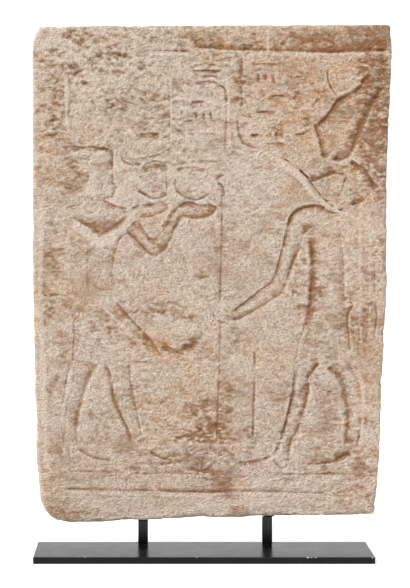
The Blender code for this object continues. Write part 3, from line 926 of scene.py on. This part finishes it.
class Slab:
    """The slab's outline, raster of heights and the smooth map from the unit block to its place."""

    def __init__(self, settings):
        self.arris = settings.arris / MM
        self.roughness = settings.roughness
        self.relief = Relief(settings.relief_depth)
        for stroke in (*BORDER_STROKES, *KING_STROKES, *GOD_STROKES):
            self.relief.stroke(*stroke)
        face_height = HAIRLINE_Z - CHIN_Z
        for kind, figure_side, places in KING_FACE:
            points = [(FACE_X + across, HAIRLINE_Z - down * face_height) for across, down in places]
            self.relief.stroke(kind, figure_side, points)
        for table, carve in (
            (SIGN_ROWS, self.relief.signs), (FORMS, self.relief.form), (SCOOPS, self.relief.scoop),
            (RIDGES, self.relief.ridge), (CRACKS, self.relief.crack),
        ):
            for row in table:
                carve(*row)
        self.outline()
        self.heights()

    def outline(self):
        """The four broken sides, and how far in from them each place on the face is."""
        chips = layered(0.0, EDGE_CHIPS)
        self.lines = {}
        for name, line in four_sides().items():
            fine = evenly(line, max(2, int(np.hypot(*np.diff(line, axis=0).T).sum())))
            self.lines[name] = evenly(broken_edge(fine, chips, INWARD[name]), len(fine))
        for one, end, other, other_end in MEETINGS:
            middle = (self.lines[one][end] + self.lines[other][other_end]) / 2
            self.lines[one][end] = middle
            self.lines[other][other_end] = middle
        left, top, right, bottom = (self.lines[name] for name in INWARD)
        ring = np.vstack([left, top[1:], right[::-1][1:], bottom[::-1][1:]])
        window, distance, side, _, _ = distances(ring, EDGE_REACH)
        self.inset = np.zeros(FACE_SHAPE)
        untouched = distance > EDGE_REACH + 1
        self.inset[window] = np.where((side < 0) | untouched, np.minimum(distance, EDGE_REACH), 0.0)

    def heights(self):
        """The face's height, and where the front and the back of the stone lie from front to back."""
        rough = np.clip(layered(0.95 + patches(ROUGH, ROUGH_SEED), ROUGHNESS), 0.3, 2.4)
        flaked = sum(height * np.tanh(steep * noise(*bumps)) for height, steep, *bumps in FLAKES)
        for height, *bumps in FLAKE_PITS:
            flaked -= height * np.minimum(np.abs(noise(*bumps)), FLAKE_PIT_LIMIT)
        broken = flaked + layered(0.0, PECKED)
        pits = smooth_step((noise(*PIT_BUMPS) * rough - PIT_LEVEL) / PIT_RANGE) * PIT_DEPTH
        self.height = layered(0.0, DRESSED) + BROKEN_GAIN * self.roughness * rough * broken - pits
        self.height = self.height - self.relief.cut + self.relief.raised
        arris = np.clip(layered(self.arris, ARRIS_SPREAD), 1.5, None)
        self.front = FRONT_Y + eased(arris, self.inset) - self.height
        hollow = layered(smooth_step(layered(0.5, BACK_DISHES)) * 2.0, BACK_TOOLING)
        for bar in ("left_support", "right_support"):
            low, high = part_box(bar)
            beside = np.maximum(low.x / MM - ACROSS[None, :], ACROSS[None, :] - high.x / MM)
            hollow = hollow * smooth_step(np.maximum(beside, UP[:, None] - high.z / MM) / 20.0)
        back_arris = np.clip(layered(self.arris * 1.3, BACK_ARRIS_SPREAD), 2.0, None)
        self.back = BACK_Y - eased(back_arris, self.inset) - np.clip(hollow, 0, None)

    def place(self, across, up, depth):
        """Where points of the unit block go, in millimetres."""
        def along(name, share):
            line = self.lines[name]
            stops = np.linspace(0, 1, len(line))
            return np.stack([np.interp(share, stops, line[:, axis]) for axis in (0, 1)], axis=1)

        a, u = across[:, None], up[:, None]
        spot = (1 - u) * along("bottom", across) + u * along("top", across)
        spot += (1 - a) * along("left", up) + a * along("right", up)
        spot -= (1 - a) * (1 - u) * self.lines["left"][0] + a * (1 - u) * self.lines["right"][0]
        spot -= (1 - a) * u * self.lines["left"][-1] + a * u * self.lines["right"][-1]
        x, z = spot[:, 0], spot[:, 1]
        front = sample(self.front, x, z)
        y = front + (sample(self.back, x, z) - front) * depth
        on_side = (depth > ON_SIDE) & (depth < 1 - ON_SIDE)
        inward_x, inward_z = (
            np.where(share < ON_SIDE, 1.0, np.where(share > 1 - ON_SIDE, -1.0, 0.0)) * on_side
            for share in (across, up)
        )
        folded = y - FRONT_Y
        breaks = layered(0.0, SIDE_BREAKS)
        push = np.clip(0.25 + sample(breaks, x + inward_x * folded, z + inward_z * folded), 0, None)
        push *= np.sin(np.pi * depth) ** 0.5
        for low, high in SEATS:
            on_seat = (inward_z > 0) * np.clip(1 - np.maximum(low - x, x - high) / SEAT_FADE, 0, 1)
            push *= 1 - on_seat
        return np.stack([x + inward_x * push, y, z + inward_z * push], axis=1)


def set_points(mesh, points):
    mesh.vertices.foreach_set("co", (points * MM).astype(np.float32).ravel())
    mesh.update()


def points_of(mesh):
    flat = np.empty(len(mesh.vertices) * 3, np.float32)
    mesh.vertices.foreach_get("co", flat)
    return flat.reshape(-1, 3).astype(float)


def thinned(obj, most_triangles, detail):
    """The object's mesh in fewer, larger triangles, most of them kept where detail is close to 1."""
    group = obj.vertex_groups.new(name="detail")
    levels = np.round(detail * DETAIL_LEVELS).astype(int)
    for level in range(1, DETAIL_LEVELS + 1):
        group.add(np.nonzero(levels == level)[0].tolist(), level / DETAIL_LEVELS, "REPLACE")
    modifier = obj.modifiers.new("thinning", "DECIMATE")
    modifier.vertex_group = group.name
    modifier.invert_vertex_group = True
    modifier.vertex_group_factor = DETAIL_PULL
    modifier.ratio = most_triangles / sum(len(face.vertices) - 2 for face in obj.data.polygons)
    graph = bpy.context.evaluated_depsgraph_get()
    mesh = bpy.data.meshes.new_from_object(obj.evaluated_get(graph))
    obj.modifiers.clear()
    obj.vertex_groups.clear()
    old = obj.data
    obj.data = mesh
    bpy.data.meshes.remove(old)
    return mesh


def turn_outwards(mesh):
    shape = bmesh.new()
    shape.from_mesh(mesh)
    bmesh.ops.recalc_face_normals(shape, faces=shape.faces)
    shape.to_mesh(mesh)
    shape.free()


def weathering_and_shade(slab):
    """What the stone's material reads: each field, its least and its most, and its value off the face."""
    relief = slab.relief
    smooth = blurred(slab.height, 1.6)
    hollow = smooth - slab.height
    basin = blurred(slab.height, 7.0) - smooth
    # Fine hollows and broad basins are browned, and deep hollows darkened: patina and dirt there together
    # with painted shade. Crests and raised areas are paled: worn stone together with a painted highlight.
    grime_and_shade = np.clip(0.95 + 0.8 * hollow, 0.4, 1.8)
    brown = 1.2 * patches(STAINS, STAIN_SEED) * grime_and_shade + 0.7 * relief.brown + np.clip(0.25 * basin, -0.1, 0.3)
    brown += layered(np.clip(0.5 * hollow, -0.3, 0.28) + 0.04, PATINA_DRIFT)
    dark = 0.8 * relief.dark + np.clip((hollow - 0.8) / 1.2, 0, 0.18)
    rubbed_and_highlight = patches(RUBBED, RUBBED_SEED) + 0.8 * relief.pale + np.clip(-0.8 * hollow, -0.3, 0.5)
    rubbed_and_highlight += np.clip(-0.3 * basin, -0.2, 0.3) + 0.7 * np.exp(-slab.inset / 3.0) + 0.1
    pink = layered(patches(BLUSH, BLUSH_SEED), BLUSH_DRIFT)
    # The brown along the cuts, painted shade as well as dirt, also warms the stone there.
    warm = layered(0.16 + patches(WARMTH, WARMTH_SEED) + 0.25 * relief.brown, WARMTH_DRIFT)
    return {
        "dark": (dark, 0, 1, 0.0),
        "patina_and_shade": (brown, 0, 1.2, 0.3),
        "rubbed_and_highlight": (rubbed_and_highlight, 0, 1, 0.3),
        "pink": (pink, -1, 1, 0.0),
        "warm": (warm, 0, 1, 0.3),
    }


# ---------------------------------------------------------------------------------------------
# Materials
# ---------------------------------------------------------------------------------------------

# The scale, the stretch and the detail of each size of grain.
STONE_GRAINS = ((70.0, 1.5, 4.0), (215.0, 1.6, 4.0), (430.0, 1.4, 2.0), (720.0, 1.2, 1.0))
PAINT_FILM = (260.0, 1.0, 3.0)
PAINT_SMEARS = (60.0, 1.0, 4.0)
COARSE_SHARE = 0.22  # the scale of the coarse grain as a share of the fine
STONE_ROUGHNESS, STONE_SPECULAR = 0.95, 0.2
FLOOR_ROUGHNESS = 0.9
PLATE_EDGE_REACH = 0.0012
# The paint's roughness and specular level: how far smears, or the way to the back, raise each, and its least.
PAINT_ROUGHNESS = (0.14, 0.18)
# The specular level's rise towards the back is a painted sheen.
PAINTED_SHEEN = (0.42, 0.16)
# The strength of each bump and its distance in metres.
STONE_BUMP = (1.0, 0.0033)
PAINT_BUMP = (0.15, 0.0002)

# Where the plate's paint is chipped: x along its top front edge and the radius of the chip.
CHIPS = ((-19.0, 1.8), (110.5, 2.6), (115.0, 2.0), (119.5, 2.8), (-150.0, 1.5), (186.0, 1.6))


def new_material(name):
    material = bpy.data.materials.new(name)
    material.use_nodes = True
    return material, material.node_tree, material.node_tree.nodes["Principled BSDF"]


def feed(tree, socket, value):
    """Gives an input another node's output, or a plain value."""
    if isinstance(value, bpy.types.NodeSocket):
        tree.links.new(value, socket)
    else:
        socket.default_value = value


def blend_colour(tree, factor, first, second, blend="MIX"):
    """A mix of two colours, each a socket or a plain value."""
    mix = tree.nodes.new("ShaderNodeMix")
    mix.data_type = "RGBA"
    mix.blend_type = blend
    for index, value in ((0, factor), (6, first), (7, second)):
        feed(tree, mix.inputs[index], value)
    return mix.outputs[2]


def darkened(tree, amount, colour, keeps):
    """The colour with a darker tint over it, for stains, grime and painted shade alike, which keeps that much
    of red, green and blue where it is full.
    """
    return blend_colour(tree, amount, colour, blend_colour(tree, 1.0, colour, keeps, "MULTIPLY"))


def compute(tree, operation, *values, clamp=False):
    math_node = tree.nodes.new("ShaderNodeMath")
    math_node.operation = operation
    math_node.use_clamp = clamp
    for socket, value in zip(math_node.inputs, values):
        feed(tree, socket, value)
    return math_node.outputs[0]


def vector_node(tree, operation, first, second):
    node = tree.nodes.new("ShaderNodeVectorMath")
    node.operation = operation
    feed(tree, node.inputs[0], first)
    feed(tree, node.inputs[1], second)
    return node


def split(tree, vector):
    node = tree.nodes.new("ShaderNodeSeparateXYZ")
    tree.links.new(vector, node.inputs[0])
    return node.outputs


def scaled(tree, value, gain, level, clamp=False):
    """The value times a gain, on top of a level."""
    return compute(tree, "MULTIPLY_ADD", value, gain, level, clamp=clamp)


def spread(tree, value, contrast):
    """A noise value with its contrast raised about its middle."""
    return scaled(tree, value, contrast, 0.5 - 0.5 * contrast, clamp=True)


def coordinates(tree, kind="Object"):
    return tree.nodes.new("ShaderNodeTexCoord").outputs[kind]


def add_bump(tree, shader, height, strength, distance):
    bump = tree.nodes.new("ShaderNodeBump")
    for name, value in (("Height", height), ("Strength", strength), ("Distance", distance)):
        feed(tree, bump.inputs[name], value)
    tree.links.new(bump.outputs["Normal"], shader.inputs["Normal"])


def new_group(name, inputs, outputs):
    """A node group with its sockets, each a name and a kind, and its nodes for what comes in and goes out."""
    group = bpy.data.node_groups.new(name, "ShaderNodeTree")
    for way, sockets in (("INPUT", inputs), ("OUTPUT", outputs)):
        for socket, kind in sockets:
            group.interface.new_socket(socket, in_out=way, socket_type=f"NodeSocket{kind}")
    return group, group.nodes.new("NodeGroupInput").outputs, group.nodes.new("NodeGroupOutput").inputs


def place_group(tree, group, **values):
    node = tree.nodes.new("ShaderNodeGroup")
    node.node_tree = group
    for name, value in values.items():
        feed(tree, node.inputs[name], value)
    return node.outputs


def grain_group():
    """Fine and coarse grain, each from 0 to 1, stretched along x."""
    if "grain" in bpy.data.node_groups:
        return bpy.data.node_groups["grain"]
    inputs = [(name, "Float") for name in ("Scale", "Stretch", "Detail")]
    group, entry, leave = new_group("grain", inputs, [("Fine", "Float"), ("Coarse", "Float")])
    stretch = group.nodes.new("ShaderNodeCombineXYZ")
    for socket, value in zip(stretch.inputs, (1.0, 1.0, entry["Stretch"])):
        feed(group, socket, value)
    place = vector_node(group, "MULTIPLY", coordinates(group), stretch.outputs[0]).outputs[0]
    for name, share in (("Fine", 1.0), ("Coarse", COARSE_SHARE)):
        pattern = group.nodes.new("ShaderNodeTexNoise")
        feed(group, pattern.inputs["Vector"], place)
        feed(group, pattern.inputs["Scale"], compute(group, "MULTIPLY", entry["Scale"], share))
        feed(group, pattern.inputs["Detail"], entry["Detail"])
        feed(group, leave[name], pattern.outputs["Fac"])
    return group


def grain(tree, scale, stretch, detail):
    return place_group(tree, grain_group(), Scale=scale, Stretch=stretch, Detail=detail)


def edge_nearness_group():
    """How near a point is to an edge of a box, 1 on the edge and 0 a reach away from it."""
    if "edge_nearness" in bpy.data.node_groups:
        return bpy.data.node_groups["edge_nearness"]
    inputs = [("Low", "Vector"), ("High", "Vector"), ("Reach", "Float")]
    group, entry, leave = new_group("edge_nearness", inputs, [("Mask", "Float")])
    place = coordinates(group)
    gaps = []
    for name in ("Low", "High"):
        apart = vector_node(group, "SUBTRACT", place, entry[name]).outputs[0]
        gaps.append([compute(group, "ABSOLUTE", socket) for socket in split(group, apart)])
    across, along, up = (compute(group, "MINIMUM", low, high) for low, high in zip(*gaps))
    smaller = compute(group, "MINIMUM", across, along)
    larger = compute(group, "MAXIMUM", across, along)
    second = compute(group, "MAXIMUM", smaller, compute(group, "MINIMUM", larger, up))
    near = compute(group, "DIVIDE", second, entry["Reach"])
    feed(group, leave["Mask"], compute(group, "SUBTRACT", 1.0, near, clamp=True))
    return group


def near_spot(tree, spot, radius):
    """1 at a spot in the object's own coordinates, falling to 0 at the radius."""
    apart = vector_node(tree, "DISTANCE", coordinates(tree), spot).outputs["Value"]
    return scaled(tree, apart, -1.0 / radius, 1.0, clamp=True)


def attribute(tree, name):
    node = tree.nodes.new("ShaderNodeAttribute")
    node.attribute_name = name
    return node.outputs["Fac"]


def uneven(tree, name, mottle, gain, level):
    """A value stored on the mesh, broken up by the mottle."""
    return compute(tree, "MULTIPLY", attribute(tree, name), scaled(tree, mottle, gain, level), clamp=True)


def limestone_material(colours):
    """Warm, grey and pink stone, browned by a skin, by grime and by painted shade, and pale where it is worn
    and where highlights are painted.
    """
    material, tree, shader = new_material("weathered_limestone")
    shader.inputs["Roughness"].default_value = STONE_ROUGHNESS
    shader.inputs["Specular IOR Level"].default_value = STONE_SPECULAR
    broad, medium, fine, specks = (grain(tree, *values) for values in STONE_GRAINS)
    warm = scaled(tree, broad["Coarse"], 1.2, -0.6)
    warm = compute(tree, "ADD", attribute(tree, "warm"), warm, clamp=True)
    pinker = scaled(tree, medium["Coarse"], 3.0, -1.4)
    pinker = compute(tree, "ADD", pinker, attribute(tree, "pink"), clamp=True)
    colour = blend_colour(tree, pinker, colours.stone, colours.pink_stone)
    colour = blend_colour(tree, warm, colour, colours.warm_stone)
    blotches = compute(tree, "MULTIPLY", spread(tree, broad["Fine"], 3.0), 0.5)
    colour = blend_colour(tree, blotches, colour, colours.grey_stone)
    brown = blend_colour(tree, pinker, colours.patina_and_shade, colours.red_patina_and_shade)
    # The fine and medium grain are the bump's own noise, so darkening the grain's lows paints shade and
    # paling its highs paints a highlight, on top of the grain's own tone.
    grain_and_shading = compute(tree, "MULTIPLY", spread(tree, fine["Fine"], 2.6), 0.35)
    grain_and_shading = scaled(tree, spread(tree, medium["Fine"], 2.0), 0.35, grain_and_shading)
    grain_and_shading = scaled(tree, spread(tree, specks["Fine"], 4.0), 0.3, grain_and_shading)
    colour = darkened(tree, scaled(tree, grain_and_shading, -1.9, 1.15, clamp=True), colour, brown)
    colour = blend_colour(tree, scaled(tree, grain_and_shading, 2.2, -1.1, clamp=True), colour, colours.rubbed_and_highlight)
    mottle = compute(tree, "MULTIPLY", spread(tree, medium["Fine"], 3.4), 0.5)
    mottle = scaled(tree, spread(tree, fine["Fine"], 3.4), 0.5, mottle)
    # The patina attribute is brown patina and dirt together with painted shade in the cuts and hollows.
    colour = darkened(tree, uneven(tree, "patina_and_shade", mottle, 1.4, 0.3), colour, brown)
    # The rubbed attribute is worn stone together with painted highlights on crests, ridges and the rims of
    # cuts.
    rubbed_and_highlight = compute(tree, "MULTIPLY", uneven(tree, "rubbed_and_highlight", mottle, -0.9, 1.1), 0.6)
    colour = blend_colour(tree, rubbed_and_highlight, colour, colours.rubbed_and_highlight)
    crowd = scaled(tree, specks["Coarse"], 3.0, -7.9)
    spots = compute(tree, "MULTIPLY", scaled(tree, specks["Fine"], 10.0, crowd, clamp=True), 0.75)
    # The dark attribute is painted shade in the cuts, cracks and deep hollows together with dirt; the spots
    # are the stone's own dark specks.
    dark = compute(tree, "MAXIMUM", uneven(tree, "dark", mottle, 0.8, 0.4), spots)
    colour = darkened(tree, dark, colour, colours.dirt_and_shade)
    feed(tree, shader.inputs["Base Color"], colour)
    add_bump(tree, shader, scaled(tree, medium["Fine"], 1.5, fine["Fine"]), *STONE_BUMP)
    return material


def steel_material(colours):
    """Satin black paint, handled and smeared, worn thin along the plate's edges where a highlight is painted
    too, given a painted sheen towards the back, and chipped in front.
    """
    material, tree, shader = new_material("satin_black_paint")
    shader.inputs["Metallic"].default_value = 0.0
    film = grain(tree, *PAINT_FILM)
    smears = grain(tree, *PAINT_SMEARS)
    colour = blend_colour(tree, smears["Coarse"], colours.paint, colours.worn_paint)
    low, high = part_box("base_plate")
    edges = place_group(tree, edge_nearness_group(), Low=low, High=high, Reach=PLATE_EDGE_REACH)["Mask"]
    # Along the plate's edges the paint is worn thin and a highlight is painted.
    worn = compute(tree, "MULTIPLY", edges, spread(tree, smears["Fine"], 4.0))
    colour = blend_colour(tree, compute(tree, "MULTIPLY", worn, 0.7), colour, colours.edge_highlight_and_wear)
    ragged = scaled(tree, spread(tree, film["Fine"], 3.0), 1.6, -1.4)
    for x, radius in CHIPS:
        near = near_spot(tree, (x * MM, low.y, high.z), radius * MM)
        chip = scaled(tree, near, 2.0, ragged, clamp=True)
        chip = compute(tree, "MULTIPLY", chip, compute(tree, "GREATER_THAN", near, 0.01))
        colour = blend_colour(tree, chip, colour, colours.chip)
    feed(tree, shader.inputs["Base Color"], colour)
    feed(tree, shader.inputs["Roughness"], scaled(tree, smears["Fine"], *PAINT_ROUGHNESS))
    # The specular level rises towards the plate's back: a painted sheen standing in for the reflection fading
    # towards the front.
    depth = high.y - low.y
    back = scaled(tree, split(tree, coordinates(tree))["Y"], 1.0 / depth, -low.y / depth, clamp=True)
    painted_sheen = scaled(tree, compute(tree, "POWER", back, 0.7), *PAINTED_SHEEN)
    feed(tree, shader.inputs["Specular IOR Level"], painted_sheen)
    add_bump(tree, shader, film["Fine"], *PAINT_BUMP)
    return material


# ---------------------------------------------------------------------------------------------
# Settings that a user would change
# ---------------------------------------------------------------------------------------------


def colour_setting(name, description, default):
    return bpy.props.FloatVectorProperty(
        name=name, description=description, subtype="COLOR", size=4, min=0.0, max=1.0, default=(*default, 1.0)
    )


def strength_setting(name, description, default):
    return bpy.props.FloatProperty(name=name, description=description, default=default, min=0.0)


class SteleSlabSettings(bpy.types.PropertyGroup):
    relief_depth: bpy.props.FloatProperty(
        name="Relief depth", description="How deep the strokes are cut, as a share of their own depth",
        default=1.0, min=0.1, max=2.0, subtype="FACTOR",
    )
    arris: bpy.props.FloatProperty(
        name="Arris", description="Radius of the slab's worn edges",
        default=4.5 * MM, min=0.5 * MM, max=10 * MM, unit="LENGTH",
    )
    roughness: bpy.props.FloatProperty(
        name="Pecked surface", description="How rough the dressed face is",
        default=1.0, min=0.0, max=3.0, subtype="FACTOR",
    )


class SteleColours(bpy.types.PropertyGroup):
    stone: colour_setting("Stone", "Pinkish limestone of the face", (0.625, 0.523, 0.436))
    pink_stone: colour_setting("Pink stone", "Pinker grains of the same stone", (0.640, 0.505, 0.455))
    grey_stone: colour_setting("Grey stone", "The lighter, greyer stone between", (0.70, 0.60, 0.51))
    warm_stone: colour_setting("Warm stone", "Stone stained by iron", (0.600, 0.375, 0.205))
    # Patina and red patina also tint the painted shade in the cuts, the hollows and the grain's lows.
    patina_and_shade: colour_setting("Patina", "What a brown skin keeps of the stone's colour", (0.50, 0.368, 0.238))
    red_patina_and_shade: colour_setting("Red patina", "The same where the stone is pinker", (0.50, 0.332, 0.240))
    # This colour also darkens the cuts, cracks and deep hollows as painted shade.
    dirt_and_shade: colour_setting("Dirt", "What dirt in the cuts keeps of the stone's colour", (0.36, 0.27, 0.21))
    # This colour also paints highlights on crests, ridges, the rims of cuts and the grain's highs.
    rubbed_and_highlight: colour_setting("Rubbed stone", "Freshly rubbed, almost white stone", (0.86, 0.745, 0.640))
    paint: colour_setting("Paint", "Satin black paint of the stand", (0.006, 0.0068, 0.009))
    worn_paint: colour_setting("Worn paint", "Greyer, handled paint", (0.012, 0.0135, 0.017))
    # This colour also paints a highlight along the plate's edges.
    edge_highlight_and_wear: colour_setting("Rubbed edges", "Paint rubbed thin on the plate's edges", (0.06, 0.062, 0.066))
    chip: colour_setting("Chips", "Pale primer where the paint is chipped", (0.50, 0.49, 0.46))


class SteleStageSettings(bpy.types.PropertyGroup):
    floor: colour_setting("Floor", "Pale floor under the stand", (0.90, 0.90, 0.90))
    fill_colour: colour_setting("Fill colour", "Warm light from the room in front", (1.0, 0.95, 0.90))
    floor_glow: strength_setting("Floor glow", "How much the floor lightens its own shadows", 0.5)
    key_strength: strength_setting("Key light", "Strength of the soft light from the upper left", 3.2)
    fill_strength: strength_setting("Fill light", "Strength of the even light all round", 0.44)
    backdrop: strength_setting("Backdrop light", "Strength of the white backdrop behind", 0.8)


# ---------------------------------------------------------------------------------------------
# Operators
# ---------------------------------------------------------------------------------------------

CAMERA_PLACE = (-0.0738, -2.505, 0.431)
LENS, SENSOR_WIDTH = 128.4, 36.0
SHIFT_X, SHIFT_Y = 0.0935, -0.168
FLOOR_SIZE = 12.0
KEY_TOWARD = Vector((-0.55, -0.46, 0.70))
KEY_SPREAD = math.radians(11)
GLOSS_LOSS = 0.87  # the share of the fill light that gloss doesn't mirror
BACKDROP_EDGE = (2.0, 0.2)  # how fast the backdrop comes in towards the back, and how much is at the side


def add_object(name, data):
    obj = bpy.data.objects.new(name, data)
    bpy.context.scene.collection.objects.link(obj)
    return obj


class STELE_OT_slab(bpy.types.Operator):
    """Carve the limestone slab with its relief, damage and weathering, and paint shade and highlights into
    its colour
    """

    bl_idname = "stele.slab"
    bl_label = "Carve the slab"

    def execute(self, context):
        slab = Slab(context.scene.stele_slab)
        columns, rows = (round((places[-1] - places[0]) / GRID_STEP) for places in (ACROSS, UP))
        mesh = block_mesh("carved_slab", columns, rows)
        places = slab.place(*points_of(mesh).T)
        set_points(mesh, places)
        obj = add_object("carved_slab", mesh)
        on_front = places[:, 1] < FRONT_Y + FACE_DEPTH
        detail = sample(slab.relief.detail(), places[:, 0], places[:, 2]) * on_front
        mesh = thinned(obj, MOST_TRIANGLES, detail)
        mesh.name = "carved_slab"
        turn_outwards(mesh)
        mesh.shade_smooth()
        low, high = SLAB_LOW / MM, SLAB_HIGH / MM
        least = (low.x + BOX_GAP, low.y, low.z + BOX_GAP)
        most = (high.x - BOX_GAP, high.y, high.z - BOX_GAP)
        points = np.clip(points_of(mesh) / MM, least, most)
        set_points(mesh, points)
        x, y, z = points.T
        facing = 1 - smooth_step((y - (FRONT_Y + FACE_DEPTH)) / FACE_FADE)
        for name, (field, lowest, highest, elsewhere) in weathering_and_shade(slab).items():
            values = np.clip(sample(field, x, z), lowest, highest) * facing + elsewhere * (1 - facing)
            layer = mesh.attributes.new(name, "FLOAT", "POINT")
            layer.data.foreach_set("value", values.astype(np.float32))
        mesh.materials.clear()
        mesh.materials.append(limestone_material(context.scene.stele_colours))
        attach(obj, ROOT)
        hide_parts("stele")
        return {"FINISHED"}


class STELE_OT_stand(bpy.types.Operator):
    """Give the plate and the two supports their painted finish"""

    bl_idname = "stele.stand"
    bl_label = "Finish the stand"

    def execute(self, context):
        paint = steel_material(context.scene.stele_colours)
        for name in ("base_plate", "left_support", "right_support"):
            part = frame["nodes"][name]
            part.data.materials.clear()
            part.data.materials.append(paint)
        return {"FINISHED"}


class STELE_OT_stage(bpy.types.Operator):
    """Set the camera, the pale floor and the soft light"""

    bl_idname = "stele.stage"
    bl_label = "Set the stage"

    def execute(self, context):
        scene = context.scene
        settings = scene.stele_stage
        camera = bpy.data.cameras.new("camera")
        camera.lens = LENS
        camera.sensor_width = SENSOR_WIDTH
        camera.shift_x = SHIFT_X
        camera.shift_y = SHIFT_Y
        scene.camera = add_object("camera", camera)
        scene.camera.location = CAMERA_PLACE
        scene.camera.rotation_euler = (math.radians(90), 0.0, 0.0)

        shape = bmesh.new()
        bmesh.ops.create_grid(shape, x_segments=1, y_segments=1, size=FLOOR_SIZE)
        floor_object = add_object("floor", new_mesh("floor", shape))
        material, tree, shader = new_material("pale_floor")
        shader.inputs["Base Color"].default_value = settings.floor
        shader.inputs["Roughness"].default_value = FLOOR_ROUGHNESS
        shader.inputs["Emission Color"].default_value = settings.floor
        seen = tree.nodes.new("ShaderNodeLightPath").outputs["Is Camera Ray"]
        feed(tree, shader.inputs["Emission Strength"], compute(tree, "MULTIPLY", seen, settings.floor_glow))
        floor_object.data.materials.append(material)

        sun = bpy.data.lights.new("key", "SUN")
        sun.energy = settings.key_strength
        sun.angle = KEY_SPREAD
        key = add_object("key", sun)
        key.rotation_mode = "QUATERNION"
        key.rotation_quaternion = KEY_TOWARD.to_track_quat("Z", "Y")
        key.location = KEY_TOWARD * 2.0

        scene.world = bpy.data.worlds.new("soft_light")
        scene.world.use_nodes = True
        tree = scene.world.node_tree
        background = tree.nodes["Background"]
        rays = tree.nodes.new("ShaderNodeLightPath").outputs
        behind = scaled(tree, split(tree, coordinates(tree, "Generated"))["Y"], *BACKDROP_EDGE, clamp=True)
        fill = settings.fill_strength
        front = scaled(tree, rays["Is Glossy Ray"], -GLOSS_LOSS * fill, fill)
        strength = scaled(tree, behind, settings.backdrop, front)
        white = compute(tree, "MAXIMUM", rays["Is Camera Ray"], behind)
        white = compute(tree, "MAXIMUM", white, rays["Is Glossy Ray"])
        colour = blend_colour(tree, white, settings.fill_colour, (1.0, 1.0, 1.0, 1.0))
        feed(tree, background.inputs["Color"], colour)
        feed(tree, background.inputs["Strength"], compute(tree, "MAXIMUM", rays["Is Camera Ray"], strength))
        scene.view_settings.view_transform = "Standard"
        return {"FINISHED"}


class STELE_PT_panel(bpy.types.Panel):
    """Sizes, colours and steps of the stele"""

    bl_label = "Stele"
    bl_idname = "STELE_PT_panel"
    bl_space_type = "VIEW_3D"
    bl_region_type = "UI"
    bl_category = "Stele"

    def draw(self, context):
        layout = self.layout
        for name in SETTINGS:
            box = layout.box()
            settings = getattr(context.scene, name)
            for setting in settings.__annotations__:
                box.prop(settings, setting)
        for operator in OPERATORS:
            layout.operator(operator.bl_idname)


SETTINGS = {
    "stele_slab": SteleSlabSettings,
    "stele_colours": SteleColours,
    "stele_stage": SteleStageSettings,
}
OPERATORS = (STELE_OT_slab, STELE_OT_stand, STELE_OT_stage)
CLASSES = (*SETTINGS.values(), *OPERATORS, STELE_PT_panel)


def register():
    for one in CLASSES:
        bpy.utils.register_class(one)
    for name, settings in SETTINGS.items():
        setattr(bpy.types.Scene, name, bpy.props.PointerProperty(type=settings))


def unregister():
    for name in SETTINGS:
        delattr(bpy.types.Scene, name)
    for one in reversed(CLASSES):
        bpy.utils.unregister_class(one)


def main():
    register()
    bpy.ops.stele.slab()
    bpy.ops.stele.stand()
    bpy.ops.stele.stage()


if __name__ == "__main__":
    main()
